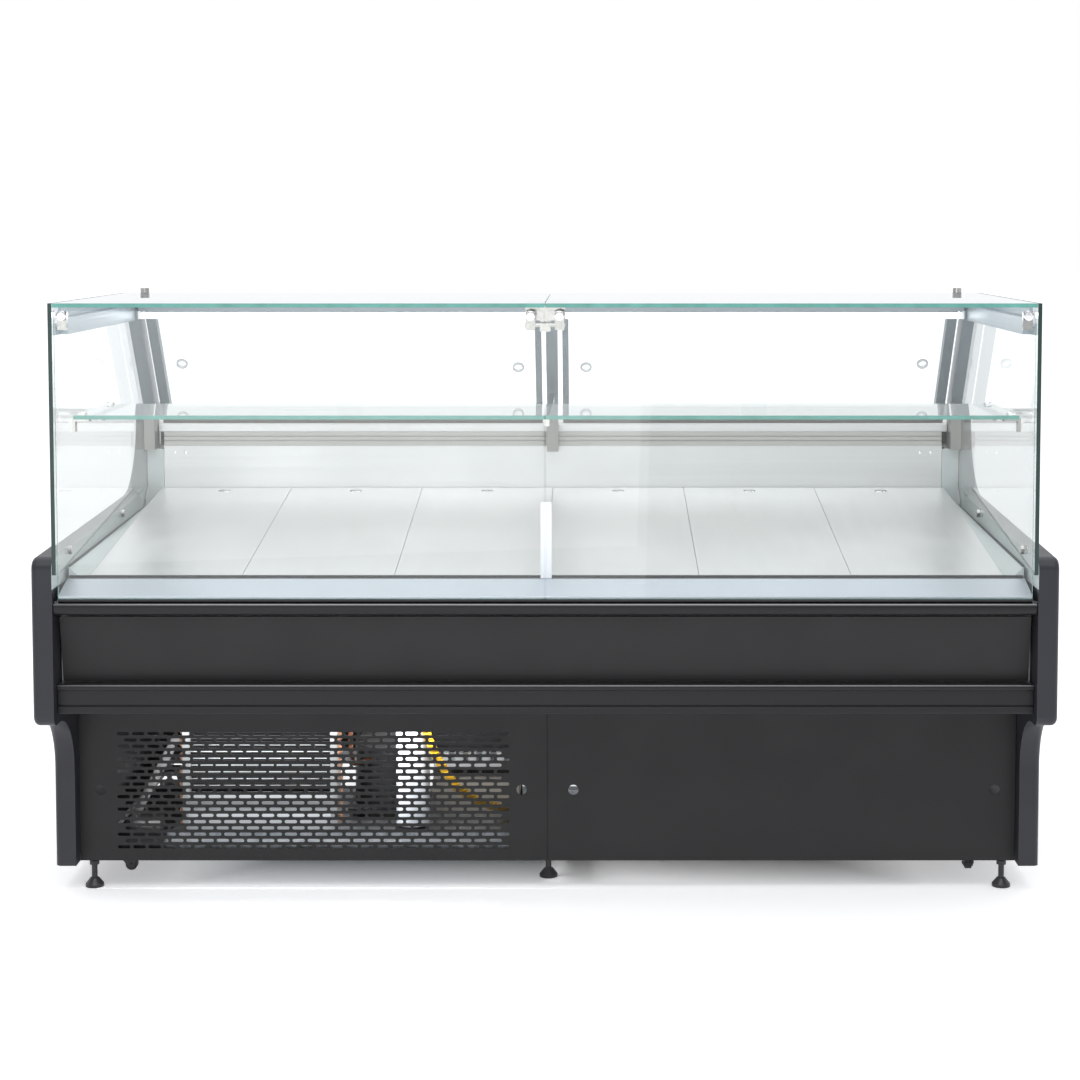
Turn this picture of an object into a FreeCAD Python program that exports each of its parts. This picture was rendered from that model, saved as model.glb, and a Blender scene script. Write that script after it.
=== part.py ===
"""Serve-over refrigerated deli case: straight tilting front glass, lift-out steel deck, sliding rear doors.

Frame: +Z up, +X along the counter, the customer's side faces -Y, origin on the floor under the middle.
Positions across the case are written as a depth behind the front face of the end panels.
"""
import FreeCAD, Part
import math
import os
import re
import Sketcher

Vector = FreeCAD.Vector
Rotation = FreeCAD.Rotation
Placement = FreeCAD.Placement
ALONG_X = Rotation(Vector(0, 1, 0), 90)
ALONG_Y = Rotation(Vector(1, 0, 0), -90)
UPRIGHT = Rotation()

# Driving sizes: name, millimetres or degrees, meaning.
SIZES = (
    ("overall_length", 2000, "outside the end panels"),
    ("overall_depth", 1120, "front face to rear edge"),
    ("body_bottom", 61, "underside of the body above the floor"),
    ("end_thick", 42, "moulded end panel"),
    ("end_bottom", 384, "underside of the end panel's bumper part"),
    ("end_shoulder", 716, "front top edge of the end panel"),
    ("end_step", 747, "where the top edge meets the rear riser"),
    ("end_top", 935, "top of the rear riser"),
    ("riser_depth", 978, "front of the rear riser"),
    ("leg_depth", 164, "front of the set-back leg"),
    ("leg_back", 1075, "rear of the leg"),
    ("sweep_round", 165, "curve from the top edge up to the riser"),
    ("leg_round", 120, "hollow curve from the bumper part to the leg"),
    ("end_edge", 12, "rounding of the outer edges"),
    ("glass", 8, "glass thickness"),
    ("top_level", 1211, "top face of the top glass"),
    ("top_glass_depth", 690, "rear edge of the top glass"),
    ("end_glass_front", 683, "lower front corner of the end glass"),
    ("end_glass_rear", 707, "lower rear corner of the end glass"),
    ("pane_front", 4, "front face of the tilting pane"),
    ("pane_bottom", 636, "lower edge of the tilting pane"),
    ("pane_top", 1196, "upper edge of the tilting pane"),
    ("pane_half_gap", 2, "half the gap between the two panes"),
    ("pivot_depth", 18, "hinge axis of the tilting panes"),
    ("pivot_level", 1168, "hinge axis of the tilting panes"),
    ("pin_radius", 4, "hinge pin"),
    ("running_gap", 0.06, "radial play of a running fit"),
    ("clamp_outer", 932, "outer glass clamps"),
    ("clamp_inner", 28, "inner glass clamps"),
    ("clamp_level", 1187, "clamp bolts"),
    ("clamp_radius", 10, "clamp discs"),
    ("bolt_radius", 5, "clamp bolts"),
    ("ear_front", 13.6, "front of the hinge brackets, inside the sweep of the tilting glass"),
    ("ear_top", 1171, "top of the hinge brackets, inside the sweep of the tilting glass"),
    ("shelf_top", 982, "glass shelf"),
    ("shelf_front", 149, "front edge of the glass shelf"),
    ("shelf_depth", 300, "glass shelf"),
    ("shelf_half", 945, "half length of the glass shelf"),
    ("rear_lean", 37, "lean of the rear doors from upright"),
    ("knee_depth", 872, "front of the posts where they turn upright"),
    ("knee_level", 947, "height where the posts turn upright"),
    ("post_top", 1202, "top of the posts"),
    ("post_thick", 48, "posts, square to their front face"),
    ("post_foot", 840, "foot of the end posts"),
    ("post_inner", 926, "inner face of the end posts"),
    ("post_half", 13, "half width of the centre post"),
    ("jamb_outer", 893, "outer door jamb, inner face"),
    ("jamb_outer_width", 22, "outer door jamb"),
    ("jamb_inner", 38, "centre door jamb, outer face"),
    ("jamb_inner_width", 14, "centre door jamb"),
    ("track_near", 12, "front of the door tracks behind the posts' face"),
    ("track_far", 37, "rear of the door tracks"),
    ("track_low", -70, "underside of the lower track, along the lean"),
    ("track_high", 270, "top of the upper track, along the lean"),
    ("track_base", 12, "solid part of a track"),
    ("track_lip", 12, "height of the track fins"),
    ("door_glass", 5, "sliding door glass"),
    ("near_door", 16, "front face of the near doors"),
    ("far_door", 28, "front face of the far doors"),
    ("door_width", 455, "sliding door"),
    ("pull_inset", 39, "finger hole from the door's edge"),
    ("pull_rise", 98, "finger hole above the knee, along the lean"),
    ("pull_radius", 10, "finger hole in the door"),
    ("rail_bottom", 846, "rear rail"),
    ("rail_top", 879, "rear rail"),
    ("rail_depth", 908, "front of the rear rail"),
    ("rail_back", 950, "back of the rear rail"),
    ("rail_half", 911, "half length of the rear rail"),
    ("worktop_level", 897, "service worktop"),
    ("worktop_front", 915, "front edge of the worktop"),
    ("worktop_back", 1112, "rear edge of the worktop"),
    ("deck_front", 111, "front edge of the deck"),
    ("deck_back", 902, "rear edge of the deck"),
    ("deck_low", 656, "top of the deck at its front edge"),
    ("deck_slope", 6.67, "slope of the deck"),
    ("deck_half", 917, "half length of the deck"),
    ("deck_gap", 1, "gap between deck plates"),
    ("deck_sheet", 1.5, "deck plate"),
    ("deck_flange", 14, "folded edge of a deck plate"),
    ("finger_radius", 14, "finger hole in a deck plate"),
    ("finger_inset", 34, "finger hole from the plate's rear edge"),
    ("tub_bottom", 412, "underside of the insulated tub"),
    ("tub_front", 62, "front of the insulated tub"),
    ("tub_back", 1000, "rear of the insulated tub"),
    ("tub_wall", 42, "front wall of the tub"),
    ("tub_floor", 50, "floor of the tub"),
    ("tub_inner", 918, "inside of the tub's ends"),
    ("liner_outer", 949.5, "outside of the side liners"),
    ("sill_top", 662, "front sill"),
    ("fascia_top", 598, "fascia panel"),
    ("fascia_bottom", 466, "fascia panel"),
    ("fascia_half", 950, "half length of the fascia panel"),
    ("fascia_lean", 26, "how far the fascia panel leans back"),
    ("fascia_sheet", 3, "fascia panel"),
    ("fascia_depth", 24, "front of the fascia panel at its top"),
    ("trim_back", 60, "back of the bumper and trim"),
    ("bumper_top", 631, "bumper roll"),
    ("bumper_bottom", 602, "bumper roll"),
    ("bumper_round", 13, "bumper roll"),
    ("trim_top", 464, "lower trim"),
    ("trim_bottom", 404, "lower trim"),
    ("trim_half", 957, "half length of the bumper and trim"),
    ("kick_depth", 200, "front of the kick plates"),
    ("kick_sheet", 1.5, "kick plates"),
    ("kick_bottom", 62, "kick plates"),
    ("kick_top", 410, "kick plates"),
    ("kick_lip", 12, "folded lower edge of the kick plates"),
    ("kick_gap", 1, "half the gap between the kick plates"),
    ("kick_hole", 10.5, "radius of the holes in the kick plates"),
    ("kick_hole_level", 209, "holes in the kick plates"),
    ("kick_hole_outer", 915, "outer holes"),
    ("kick_hole_inner", 53, "inner holes"),
    ("slot_long", 25.3, "grille slot"),
    ("slot_high", 7, "grille slot"),
    ("slot_pitch", 31.06, "grille slots along a row"),
    ("row_pitch", 13.04, "grille rows"),
    ("grille_left", 880, "left end of the grille, from the middle"),
    ("grille_bottom", 90.5, "middle of the lowest grille row"),
    ("grille_rows", 19, "rows in the grille"),
    ("grille_columns", 26, "slots in a full row"),
    ("frame_bottom", 66, "base frame"),
    ("frame_tube", 30, "base frame tube"),
    ("frame_front", 216, "front of the base frame"),
    ("frame_back", 1060, "rear of the base frame"),
    ("frame_half", 956, "half length of the base frame"),
    ("frame_middle", 640, "front of the middle cross tube"),
    ("side_tube", 40, "width of the side tubes"),
    ("foot_outer", 936, "corner feet from the middle"),
    ("foot_front", 231, "front feet"),
    ("foot_centre", 300, "middle front foot"),
    ("foot_rear", 1045, "rear feet"),
    ("foot_radius", 19, "foot pad"),
    ("stem_radius", 6, "foot stem"),
    ("stem_play", 0.4, "play of the stem in the frame"),
    ("stem_top", 108, "top of the foot stem"),
    ("castor_across", 880, "castors from the middle"),
    ("castor_front", 300, "front castors"),
    ("castor_rear", 960, "rear castors"),
    ("castor_trail", 7, "axle behind the swivel axis"),
    ("axle_level", 27, "castor axle"),
    ("wheel_radius", 12.5, "castor wheel"),
    ("wheel_width", 13, "castor wheel"),
    ("axle_radius", 2.5, "castor axle"),
    ("tube_radius", 4.8, "copper tube"),
    ("conduit_radius", 9, "flexible wiring conduit"),
    ("lamp_radius", 7, "lamp tube"),
    ("lamp_level", 1160, "lamp tube"),
    ("lamp_depth", 698, "lamp tube"),
    ("drain_radius", 16, "drain hole in the tub"),
    ("hose_end", 13, "lower end of the drain spout"),
    ("switch_across", 720, "rocker switch from the middle"),
    ("switch_level", 760, "rocker switch"),
    ("rocker_depth", 1111, "axis of the rocker switch"),
    ("rocker_pin", 2, "pivot of the rocker switch"),
    ("coil_left", 757, "condenser, left end from the middle"),
    ("coil_right", 437, "condenser, right end from the middle"),
)
NAMES = {name for name, number, meaning in SIZES}

doc = FreeCAD.newDocument("deli_case")
sheet = doc.addObject("Spreadsheet::Sheet", "sheet")
nodes = {}


def fill_sheet():
    """Put every driving size in the sheet, with its alias and meaning."""
    for row, (name, number, meaning) in enumerate(SIZES, start=1):
        sheet.set(f"A{row}", name)
        sheet.set(f"B{row}", str(number))
        sheet.set(f"C{row}", meaning)
        sheet.setAlias(f"B{row}", name)
    doc.recompute()


def size(text):
    """The value of an expression written in size names."""
    return float(sheet.evalExpression(str(text)))


def bound(thing, prop, text):
    """Bind a property to an expression written in size names."""
    def in_sheet(word):
        return f"sheet.{word[0]}" if word[0] in NAMES else word[0]

    thing.setExpression(prop, re.sub(r"[a-z_]+", in_sheet, str(text)))


def place(thing, x, depth, z, turn=UPRIGHT):
    """Bind where a thing stands: x, the depth behind the front face, and z."""
    thing.Placement = Placement(Vector(), turn)
    bound(thing, "Placement.Base.x", x)
    bound(thing, "Placement.Base.y", f"({depth}) - overall_depth / 2")
    bound(thing, "Placement.Base.z", z)
    return thing


def block(name, x, depth, z):
    """A box from its low and high x, depth and z."""
    box = doc.addObject("Part::Box", name)
    for prop, (low, high) in zip(("Length", "Width", "Height"), (x, depth, z)):
        bound(box, prop, f"({high}) - ({low})")
    return place(box, x[0], depth[0], z[0])


def rod(name, radius, length, x, depth, z, turn=UPRIGHT):
    """A cylinder that starts at a point and runs up, or along the turned axis."""
    cylinder = doc.addObject("Part::Cylinder", name)
    bound(cylinder, "Radius", radius)
    bound(cylinder, "Height", length)
    return place(cylinder, x, depth, z, turn)


def cone(name, low_radius, high_radius, height, x, depth, z):
    """An upright cone or taper."""
    taper = doc.addObject("Part::Cone", name)
    bound(taper, "Radius1", low_radius)
    bound(taper, "Radius2", high_radius)
    bound(taper, "Height", height)
    return place(taper, x, depth, z)


def leaning_block(name, x, outward, upward):
    """A box in the plane of the rear doors, from the posts' knee: square to the glass, then up the lean."""
    box = doc.addObject("Part::Box", name)
    for prop, (low, high) in zip(("Length", "Width", "Height"), (x, outward, upward)):
        bound(box, prop, f"({high}) - ({low})")
    return lean(box, x[0], outward[0], upward[0])


def lean(thing, x, outward, upward, turn=UPRIGHT):
    """Place a thing in the leaning plane of the rear doors."""
    depth = f"knee_depth + ({outward}) * cos(rear_lean) - ({upward}) * sin(rear_lean)"
    level = f"knee_level + ({outward}) * sin(rear_lean) + ({upward}) * cos(rear_lean)"
    return place(thing, x, depth, level, Rotation(Vector(1, 0, 0), size("rear_lean")).multiply(turn))


def joined(name, parts):
    """One solid from touching or overlapping parts."""
    fused = doc.addObject("Part::MultiFuse", name)
    fused.Shapes = parts
    return fused


def together(name, parts):
    """A set of separate solids that share one sub-part."""
    compound = doc.addObject("Part::Compound", name)
    compound.Links = parts
    return compound


def less(name, base, tools):
    """The base with the tools cut away."""
    cut = doc.addObject("Part::Cut", name)
    cut.Base = base
    cut.Tool = tools[0] if len(tools) == 1 else together(f"{name}_tools", tools)
    return cut


def sub_part(label, thing):
    """Name the finished piece and put it on the list to be written."""
    thing.Label = label
    nodes[label] = thing
    return thing


def outline_sketch(body, points, x_start):
    """A closed outline in the case's side view, each corner bound to its depth and height."""
    sketch = body.newObject("Sketcher::SketchObject", f"{body.Name}_outline")
    plane = next(item for item in body.Origin.OriginFeatures if item.Role == "YZ_Plane")
    sketch.AttachmentSupport = [(plane, "")]
    sketch.MapMode = "FlatFace"
    bound(sketch, "AttachmentOffset.Base.z", x_start)
    corners = [(f"({depth}) - overall_depth / 2", f"{level}") for depth, level in points]
    flat = [Vector(size(across), size(up), 0) for across, up in corners]
    for index, corner in enumerate(flat):
        sketch.addGeometry(Part.LineSegment(corner, flat[(index + 1) % len(flat)]), False)
    for index in range(len(flat)):
        sketch.addConstraint(Sketcher.Constraint("Coincident", index, 2, (index + 1) % len(flat), 1))
    for index, (across, up) in enumerate(corners):
        for kind, text in (("DistanceX", across), ("DistanceY", up)):
            number = sketch.addConstraint(Sketcher.Constraint(kind, -1, 1, index, 1, size(text)))
            bound(sketch, f"Constraints[{number}]", text)
    return sketch


def edges_through(shape, depth, level):
    """Names of the edges along X that pass through a corner of the outline."""
    y, z = size(f"({depth}) - overall_depth / 2"), size(level)
    found = []
    for number, edge in enumerate(shape.Edges, start=1):
        box = edge.BoundBox
        if box.XLength > 1 and math.dist((box.Center.y, box.Center.z), (y, z)) < 0.01:
            found.append(f"Edge{number}")
    return found


def rounded(body, base, names, radius):
    """Fillet the named edges of a body's last feature."""
    fillet = body.newObject("PartDesign::Fillet", f"{body.Name}_round")
    fillet.Base = (base, names)
    bound(fillet, "Radius", radius)
    doc.recompute()
    return fillet


def profile(name, points, x, rounds=()):
    """A body with one outline in side view, padded along X; rounds lists (corner, radius) pairs."""
    body = doc.addObject("PartDesign::Body", name)
    sketch = outline_sketch(body, points, x[0])
    pad = body.newObject("PartDesign::Pad", f"{name}_pad")
    pad.Profile = sketch
    bound(pad, "Length", f"({x[1]}) - ({x[0]})")
    doc.recompute()
    last = pad
    for corner, radius in rounds:
        last = rounded(body, last, edges_through(last.Shape, *points[corner]), radius)
    return body


def both_sides(maker, name):
    """The same piece at the left and at the right end, made by maker(name, side)."""
    return [maker(f"{name}_{word}", side) for word, side in (("left", -1), ("right", 1))]


def span(side, near, far):
    """The low and high x of a piece between two distances from the middle."""
    return (f"-({far})", f"-({near})") if side < 0 else (near, far)


# Cabinet shell -------------------------------------------------------------------------------

def make_end_panels():
    """Moulded end panels: bumper part over a set-back leg, and a riser at the rear."""
    points = (
        (0, "end_bottom"), (0, "end_shoulder"), ("riser_depth", "end_step"), ("riser_depth", "end_top"),
        ("overall_depth", "end_top"), ("overall_depth", "end_bottom"), ("leg_back", "end_bottom"),
        ("leg_back", "body_bottom"), ("leg_depth", "body_bottom"), ("leg_depth", "end_bottom"),
    )
    rounds = ((2, "sweep_round"), (9, "leg_round"), (0, 20), (1, 24), (3, 14), (4, 24), (5, 14), (6, 36))
    for word, side in (("left", -1), ("right", 1)):
        outer = side * size("overall_length / 2")
        across = span(side, "overall_length / 2 - end_thick", "overall_length / 2")
        body = profile(f"end_{word}", points, across, rounds)
        last = body.Tip
        rim = [f"Edge{number}" for number, edge in enumerate(last.Shape.Edges, start=1)
               if abs(edge.BoundBox.XMin - outer) < 0.01 and abs(edge.BoundBox.XMax - outer) < 0.01
               and edge.BoundBox.ZMax > size("body_bottom") + 1]
        rounded(body, last, rim, "end_edge")
        sub_part(f"end_panel_{word}", body)


def make_front_trim():
    """Bumper roll, leaning fascia panel and grooved lower trim between the end panels."""
    across = ("-trim_half", "trim_half")
    roll = (("pane_front", "bumper_bottom"), ("pane_front", "bumper_top"), ("trim_back", "bumper_top"),
            ("trim_back", "bumper_bottom"))
    sub_part("front_bumper", profile("bumper", roll, across, ((0, "bumper_round"), (1, "bumper_round"))))
    foot = "fascia_depth + fascia_lean"
    panel = (("fascia_depth", "fascia_top"), ("fascia_depth + fascia_sheet", "fascia_top"),
             (f"{foot} + fascia_sheet", "fascia_bottom"), (foot, "fascia_bottom"))
    sub_part("fascia_panel", profile("fascia", panel, ("-fascia_half", "fascia_half")))
    face, bead, groove = 28, 22, 33
    trim = (("trim_back", "trim_top"), (bead, "trim_top"), (bead, "trim_top - 13"), (face, "trim_top - 13"),
            (face, "trim_bottom + 19"), (groove, "trim_bottom + 19"), (groove, "trim_bottom + 15"),
            (face, "trim_bottom + 15"), (face, "trim_bottom"), ("trim_back", "trim_bottom"))
    sub_part("lower_trim", profile("trim", trim, across, ((1, 6), (2, 5), (8, 4))))


def make_sill():
    """Aluminium sill that slopes down from the deck to the foot of the front glass."""
    points = ((14, "pane_bottom - 2"), (14, "pane_bottom + 4"), (92, "sill_top"), (108, "sill_top"),
              (108, "pane_bottom - 2"))
    sub_part("front_sill", profile("sill", points, ("-tub_inner - 31", "tub_inner + 31"), ((2, 8),)))


def grille_plate(name, x, depth, rows, columns, first, level, slot, pitch, holes=()):
    """A sheet cut with staggered rounded slots and round holes: one pierced face, pushed back."""
    x_low, x_high = x
    z_low, z_high = size("kick_bottom"), size("kick_top")
    y = depth - size("overall_depth") / 2
    corners = [Vector(x_low, y, z_low), Vector(x_high, y, z_low), Vector(x_high, y, z_high),
               Vector(x_low, y, z_high), Vector(x_low, y, z_low)]
    wires = [Part.makePolygon(corners)]
    for row in range(rows):
        stagger = pitch[0] / 2 if row % 2 else 0
        for column in range(columns - row % 2):
            centre = Vector(first + column * pitch[0] + stagger, y, level + row * pitch[1])
            wires.append(slot_wire(centre, *slot))
    for hole_x, hole_z, radius in holes:
        wires.append(Part.Wire([Part.Circle(Vector(hole_x, y, hole_z), Vector(0, -1, 0), radius).toShape()]))
    face = Part.makeFace(wires, "Part::FaceMakerBullseye")
    plate = doc.addObject("Part::Feature", name)
    plate.Shape = face.extrude(Vector(0, size("kick_sheet"), 0))
    plate.Placement = Placement()
    return plate


def slot_wire(centre, length, height):
    """A rounded slot in an upright plane."""
    half, radius = length / 2 - height / 2, height / 2
    right, left = centre + Vector(half, 0, 0), centre - Vector(half, 0, 0)
    up = Vector(0, 0, radius)
    edges = [Part.LineSegment(left + up, right + up),
             Part.Arc(right + up, right + Vector(radius, 0, 0), right - up),
             Part.LineSegment(right - up, left - up),
             Part.Arc(left - up, left - Vector(radius, 0, 0), left + up)]
    return Part.Wire([edge.toShape() for edge in edges])


def kick_lip(name, side):
    """The folded lower edge of a kick plate."""
    return block(name, span(side, "kick_gap", "trim_half"),
                 ("kick_depth + kick_sheet", "kick_depth + kick_sheet + kick_lip"),
                 ("kick_bottom", "kick_bottom + kick_sheet"))


def make_kick_plates():
    """Left kick plate with the ventilation grille, and the plain right one."""
    slot = (size("slot_long"), size("slot_high"))
    pitch = (size("slot_pitch"), size("row_pitch"))
    holes = [(-size(spot), size("kick_hole_level"), size("kick_hole")) for spot in
             ("kick_hole_outer", "kick_hole_inner")]
    slotted = grille_plate("kick_left_sheet", (-size("trim_half"), -size("kick_gap")), size("kick_depth"),
                           int(size("grille_rows")), int(size("grille_columns")),
                           -size("grille_left - slot_long / 2"), size("grille_bottom"), slot, pitch, holes)
    sub_part("kick_plate_left", together("kick_left", [slotted, kick_lip("kick_left_lip", -1)]))
    plain = block("kick_right_sheet", span(1, "kick_gap", "trim_half"),
                  ("kick_depth", "kick_depth + kick_sheet"), ("kick_bottom", "kick_top"))
    drills = [rod(f"{spot}_drill", "kick_hole", "kick_sheet * 4", spot, "kick_depth - kick_sheet",
                  "kick_hole_level", ALONG_Y) for spot in ("kick_hole_outer", "kick_hole_inner")]
    drilled = less("kick_right_drilled", plain, drills)
    sub_part("kick_plate_right", joined("kick_right", [drilled, kick_lip("kick_right_lip", 1)]))


def make_rear_cladding():
    """Upper rear panel and the slotted lower service panel."""
    upper = block("rear_upper", ("-frame_half", "frame_half"), (1098, 1100), ("kick_top + 4", "rail_top - 4"))
    rows, columns, pitch = 12, 22, (60, 17)
    half = (columns - 1) * pitch[0] / 2
    lower = grille_plate("rear_lower", (-size("frame_half"), size("frame_half")), size("frame_back") + 2,
                         rows, columns, -half, size("frame_bottom") + 84, (40, 8), pitch, ((-700, 110, 8),))
    sub_part("rear_panels", together("rear_cladding", [upper, lower]))


# Insulated tub and its lining ----------------------------------------------------------------

def make_tub():
    """The foamed tub under the deck: floor, front, rear and end walls as one piece."""
    floor = "tub_bottom + tub_floor"
    parts = [
        block("tub_base", ("-frame_half", "frame_half"), ("tub_front", "tub_back"), ("tub_bottom", floor)),
        block("tub_front_wall", ("-frame_half", "frame_half"), ("tub_front", "tub_front + tub_wall"),
              (floor, "pane_bottom - 4")),
        block("tub_rear_wall", ("-frame_half", "frame_half"), ("rail_back", "tub_back"),
              (floor, "rail_bottom - 4")),
    ]
    for word, side in (("left", -1), ("right", 1)):
        across = span(side, "tub_inner", "frame_half")
        parts.append(block(f"tub_end_{word}", across, ("tub_front + tub_wall", "rail_back"), (floor, 600)))
        parts.append(block(f"tub_corner_{word}", across, ("rail_depth", "rail_back"), (600, "post_foot")))
    drain = rod("tub_drain", "drain_radius", 200, 300, 500, "tub_bottom - 50")
    sub_part("insulated_tub", less("tub", joined("tub_walls", parts), [drain]))


def side_liner(name, side):
    """A lining that runs from the deck's edge out to the foot of the end glass, twisting along its length."""
    front, back = size("deck_front - 2.5 - overall_depth / 2"), size("deck_back - 1 - overall_depth / 2")
    inner, outer = side * size("tub_inner"), side * size("liner_outer")
    sections = ((front, size("end_glass_front"), size("deck_low - 3")),
                (back, size("end_glass_rear + 1"), size("end_step - 4")))
    wires = []
    for y, outer_level, inner_level in sections:
        corners = [Vector(outer, y, 601), Vector(outer, y, outer_level), Vector(inner, y, inner_level),
                   Vector(inner, y, 601), Vector(outer, y, 601)]
        wires.append(Part.makePolygon(corners))
    liner = doc.addObject("Part::Feature", name)
    liner.Shape = Part.makeLoft(wires, True, True)
    liner.Placement = Placement()
    return liner


def make_linings():
    """Stainless rear riser, side linings with corner strips, and the ledges that carry the deck."""
    riser = block("riser_sheet", ("-rail_half", "rail_half"), ("rail_depth - 2", "rail_depth"),
                  (620, "rail_bottom"))
    sub_part("rear_riser", riser)
    parts = both_sides(side_liner, "side_liner")
    for word, side in (("left", -1), ("right", 1)):
        parts.append(block(f"corner_strip_{word}", span(side, "rail_half + 0.5", "liner_outer - 2"),
                           ("rail_depth - 3", "rail_depth - 0.5"), ("end_glass_rear + 6", "post_foot - 1")))
    run = ("-deck_half", "deck_half")
    for word, depth in (("front", 116), ("rear", 862)):
        drop = f"deck_low - deck_sheet - 2 + ({depth} - deck_front) * tan(deck_slope)"
        parts.append(block(f"deck_ledge_{word}", run, (depth, f"{depth} + 24"),
                           (f"{drop} - deck_flange - 8", f"{drop} - deck_flange - 4")))
    sub_part("side_liners", together("linings", parts))


def make_deck():
    """Six lift-out deck plates: folded sheet with a finger hole near the rear edge."""
    count = 6
    slope = Rotation(Vector(1, 0, 0), size("deck_slope"))
    run = "(deck_back - deck_front) / cos(deck_slope)"
    fold = ("-deck_flange", "-deck_sheet")
    for index in range(count):
        left = f"-deck_half + {index} * 2 * deck_half / {count} + deck_gap / 2"
        width = f"(2 * deck_half / {count} - deck_gap)"
        name = f"deck_{index + 1}"
        inner_right = f"{width} - deck_sheet"
        folded = [
            deck_block(f"{name}_sheet", (0, width), (0, run), ("-deck_sheet", 0)),
            deck_block(f"{name}_left", (0, "deck_sheet"), (0, run), fold),
            deck_block(f"{name}_right", (inner_right, width), (0, run), fold),
            deck_block(f"{name}_front", ("deck_sheet", inner_right), (0, "deck_sheet"), fold),
        ]
        hole = doc.addObject("Part::Cylinder", f"{name}_hole")
        bound(hole, "Radius", "finger_radius")
        bound(hole, "Height", "deck_sheet * 4")
        bound(hole, "Placement.Base.x", f"{width} / 2")
        bound(hole, "Placement.Base.y", f"{run} - finger_inset")
        bound(hole, "Placement.Base.z", "-deck_sheet * 2")
        plate = less(name, joined(f"{name}_folded", folded), [hole])
        place(plate, left, "deck_front", "deck_low", slope)
        sub_part(f"deck_plate_{index + 1}", plate)


def deck_block(name, x, y, z):
    """A box in a deck plate's own frame, whose origin is the plate's front left top corner."""
    box = doc.addObject("Part::Box", name)
    for prop, axis, (low, high) in zip(("Length", "Width", "Height"), "xyz", (x, y, z)):
        bound(box, prop, f"({high}) - ({low})")
        bound(box, f"Placement.Base.{axis}", low)
    return box


# Glass superstructure ------------------------------------------------------------------------

def end_glass(name, side):
    """End pane: stands inside the end panel and stops short of the leaning post."""
    line = "knee_depth - 2 - ({0} - knee_level) * tan(rear_lean)"
    post_line = line.format("post_top - 2")
    points = ((2, "end_glass_front"), (850, "end_glass_rear"), ("rail_depth - 5", "end_step + 5"),
              ("rail_depth - 5", "post_foot - 2"), ("knee_depth - 2", "post_foot - 2"),
              ("knee_depth - 2", "knee_level"), (post_line, "post_top - 2"), (post_line, "top_level"),
              (2, "top_level"))
    inner = "overall_length / 2 - end_thick"
    return profile(name, points, span(side, f"{inner} - glass", inner))


def make_fixed_glass():
    """End panes, the two top panes and the two shelf panes."""
    sub_part("end_glass_panes", together("end_panes", both_sides(end_glass, "end_pane")))
    tops = [block(f"top_pane_{word}", span(side, 1, "overall_length / 2 - end_thick - glass - 1"),
                  (0, "top_glass_depth"), ("top_level - glass", "top_level"))
            for word, side in (("left", -1), ("right", 1))]
    sub_part("top_glass_panes", together("top_panes", tops))
    shelves = [block(f"shelf_pane_{word}", span(side, 1, "shelf_half"),
                     ("shelf_front", "shelf_front + shelf_depth"), ("shelf_top - glass", "shelf_top"))
               for word, side in (("left", -1), ("right", 1))]
    sub_part("shelf_panes", together("shelf", shelves))


def make_tilting_panes():
    """Front panes with their clamps; each clamp is a disc, a bolt through the glass and a knuckle."""
    for word, side in (("left", -1), ("right", 1)):
        across = span(side, "pane_half_gap", "overall_length / 2 - end_thick - glass - 3")
        pane = block(f"pane_{word}", across, ("pane_front", "pane_front + glass"),
                     ("pane_bottom", "pane_top"))
        places = [f"{side} * {spot}" for spot in ("clamp_outer", "clamp_inner")]
        holes = [rod(f"pane_hole_{word}_{index}", "bolt_radius + 0.4", "glass * 2", x, "pane_front - 2",
                     "clamp_level", ALONG_Y) for index, x in enumerate(places)]
        sub_part(f"front_glass_{word}", less(f"pane_drilled_{word}", pane, holes))
        clamps = [clamp(f"clamp_{word}_{index}", x) for index, x in enumerate(places)]
        sub_part(f"hinge_clamps_{word}", together(f"clamps_{word}", clamps))


def clamp(name, x):
    """One glass clamp, bored for its hinge pin."""
    back = "pane_front + glass"
    disc = rod(f"{name}_disc", "clamp_radius", "pane_front - 0.5", x, 0.5, "clamp_level", ALONG_Y)
    bolt = rod(f"{name}_bolt", "bolt_radius", "glass + 4", x, "pane_front - 1", "clamp_level", ALONG_Y)
    knuckle = block(f"{name}_knuckle", (f"{x} - 9", f"{x} + 9"), (back, "pivot_depth + 6"),
                    ("pivot_level - 9", "pane_top - 1"))
    bore = rod(f"{name}_bore", "pin_radius + running_gap", 30, f"{x} - 15", "pivot_depth", "pivot_level",
               ALONG_X)
    return less(name, joined(f"{name}_body", [disc, bolt, knuckle]), [bore])


def make_top_frame():
    """End bars with forward ears that carry the hinge pins, and the rear top rail."""
    parts = []
    for word, side in (("left", -1), ("right", 1)):
        glass_face = "overall_length / 2 - end_thick - glass"
        bar = [
            block(f"bar_{word}_low", span(side, f"{glass_face} - 20", glass_face), (54, 688), (1149, 1182)),
            block(f"bar_{word}_flange", span(side, f"{glass_face} - 6", glass_face), (54, 678), (1182, 1203)),
            block(f"bar_{word}_ear", span(side, f"{glass_face} - 5", glass_face), ("ear_front", 54),
                  (1149, "ear_top")),
            rod(f"bar_{word}_pin", "pin_radius", 28,
                f"{side} * (clamp_outer) - 14 + {side} * 4", "pivot_depth", "pivot_level", ALONG_X),
        ]
        parts.append(joined(f"bar_{word}", bar))
    rail = [block("top_rail_face", ("-post_inner + 2", "post_inner - 2"), (692, 714), (1170, "post_top")),
            block("top_rail_cover", ("-post_inner + 2", "post_inner - 2"), (714, 762), (1196, "post_top"))]
    parts.append(joined("top_rail", rail))
    sub_part("top_frame", together("bars", parts))


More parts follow.
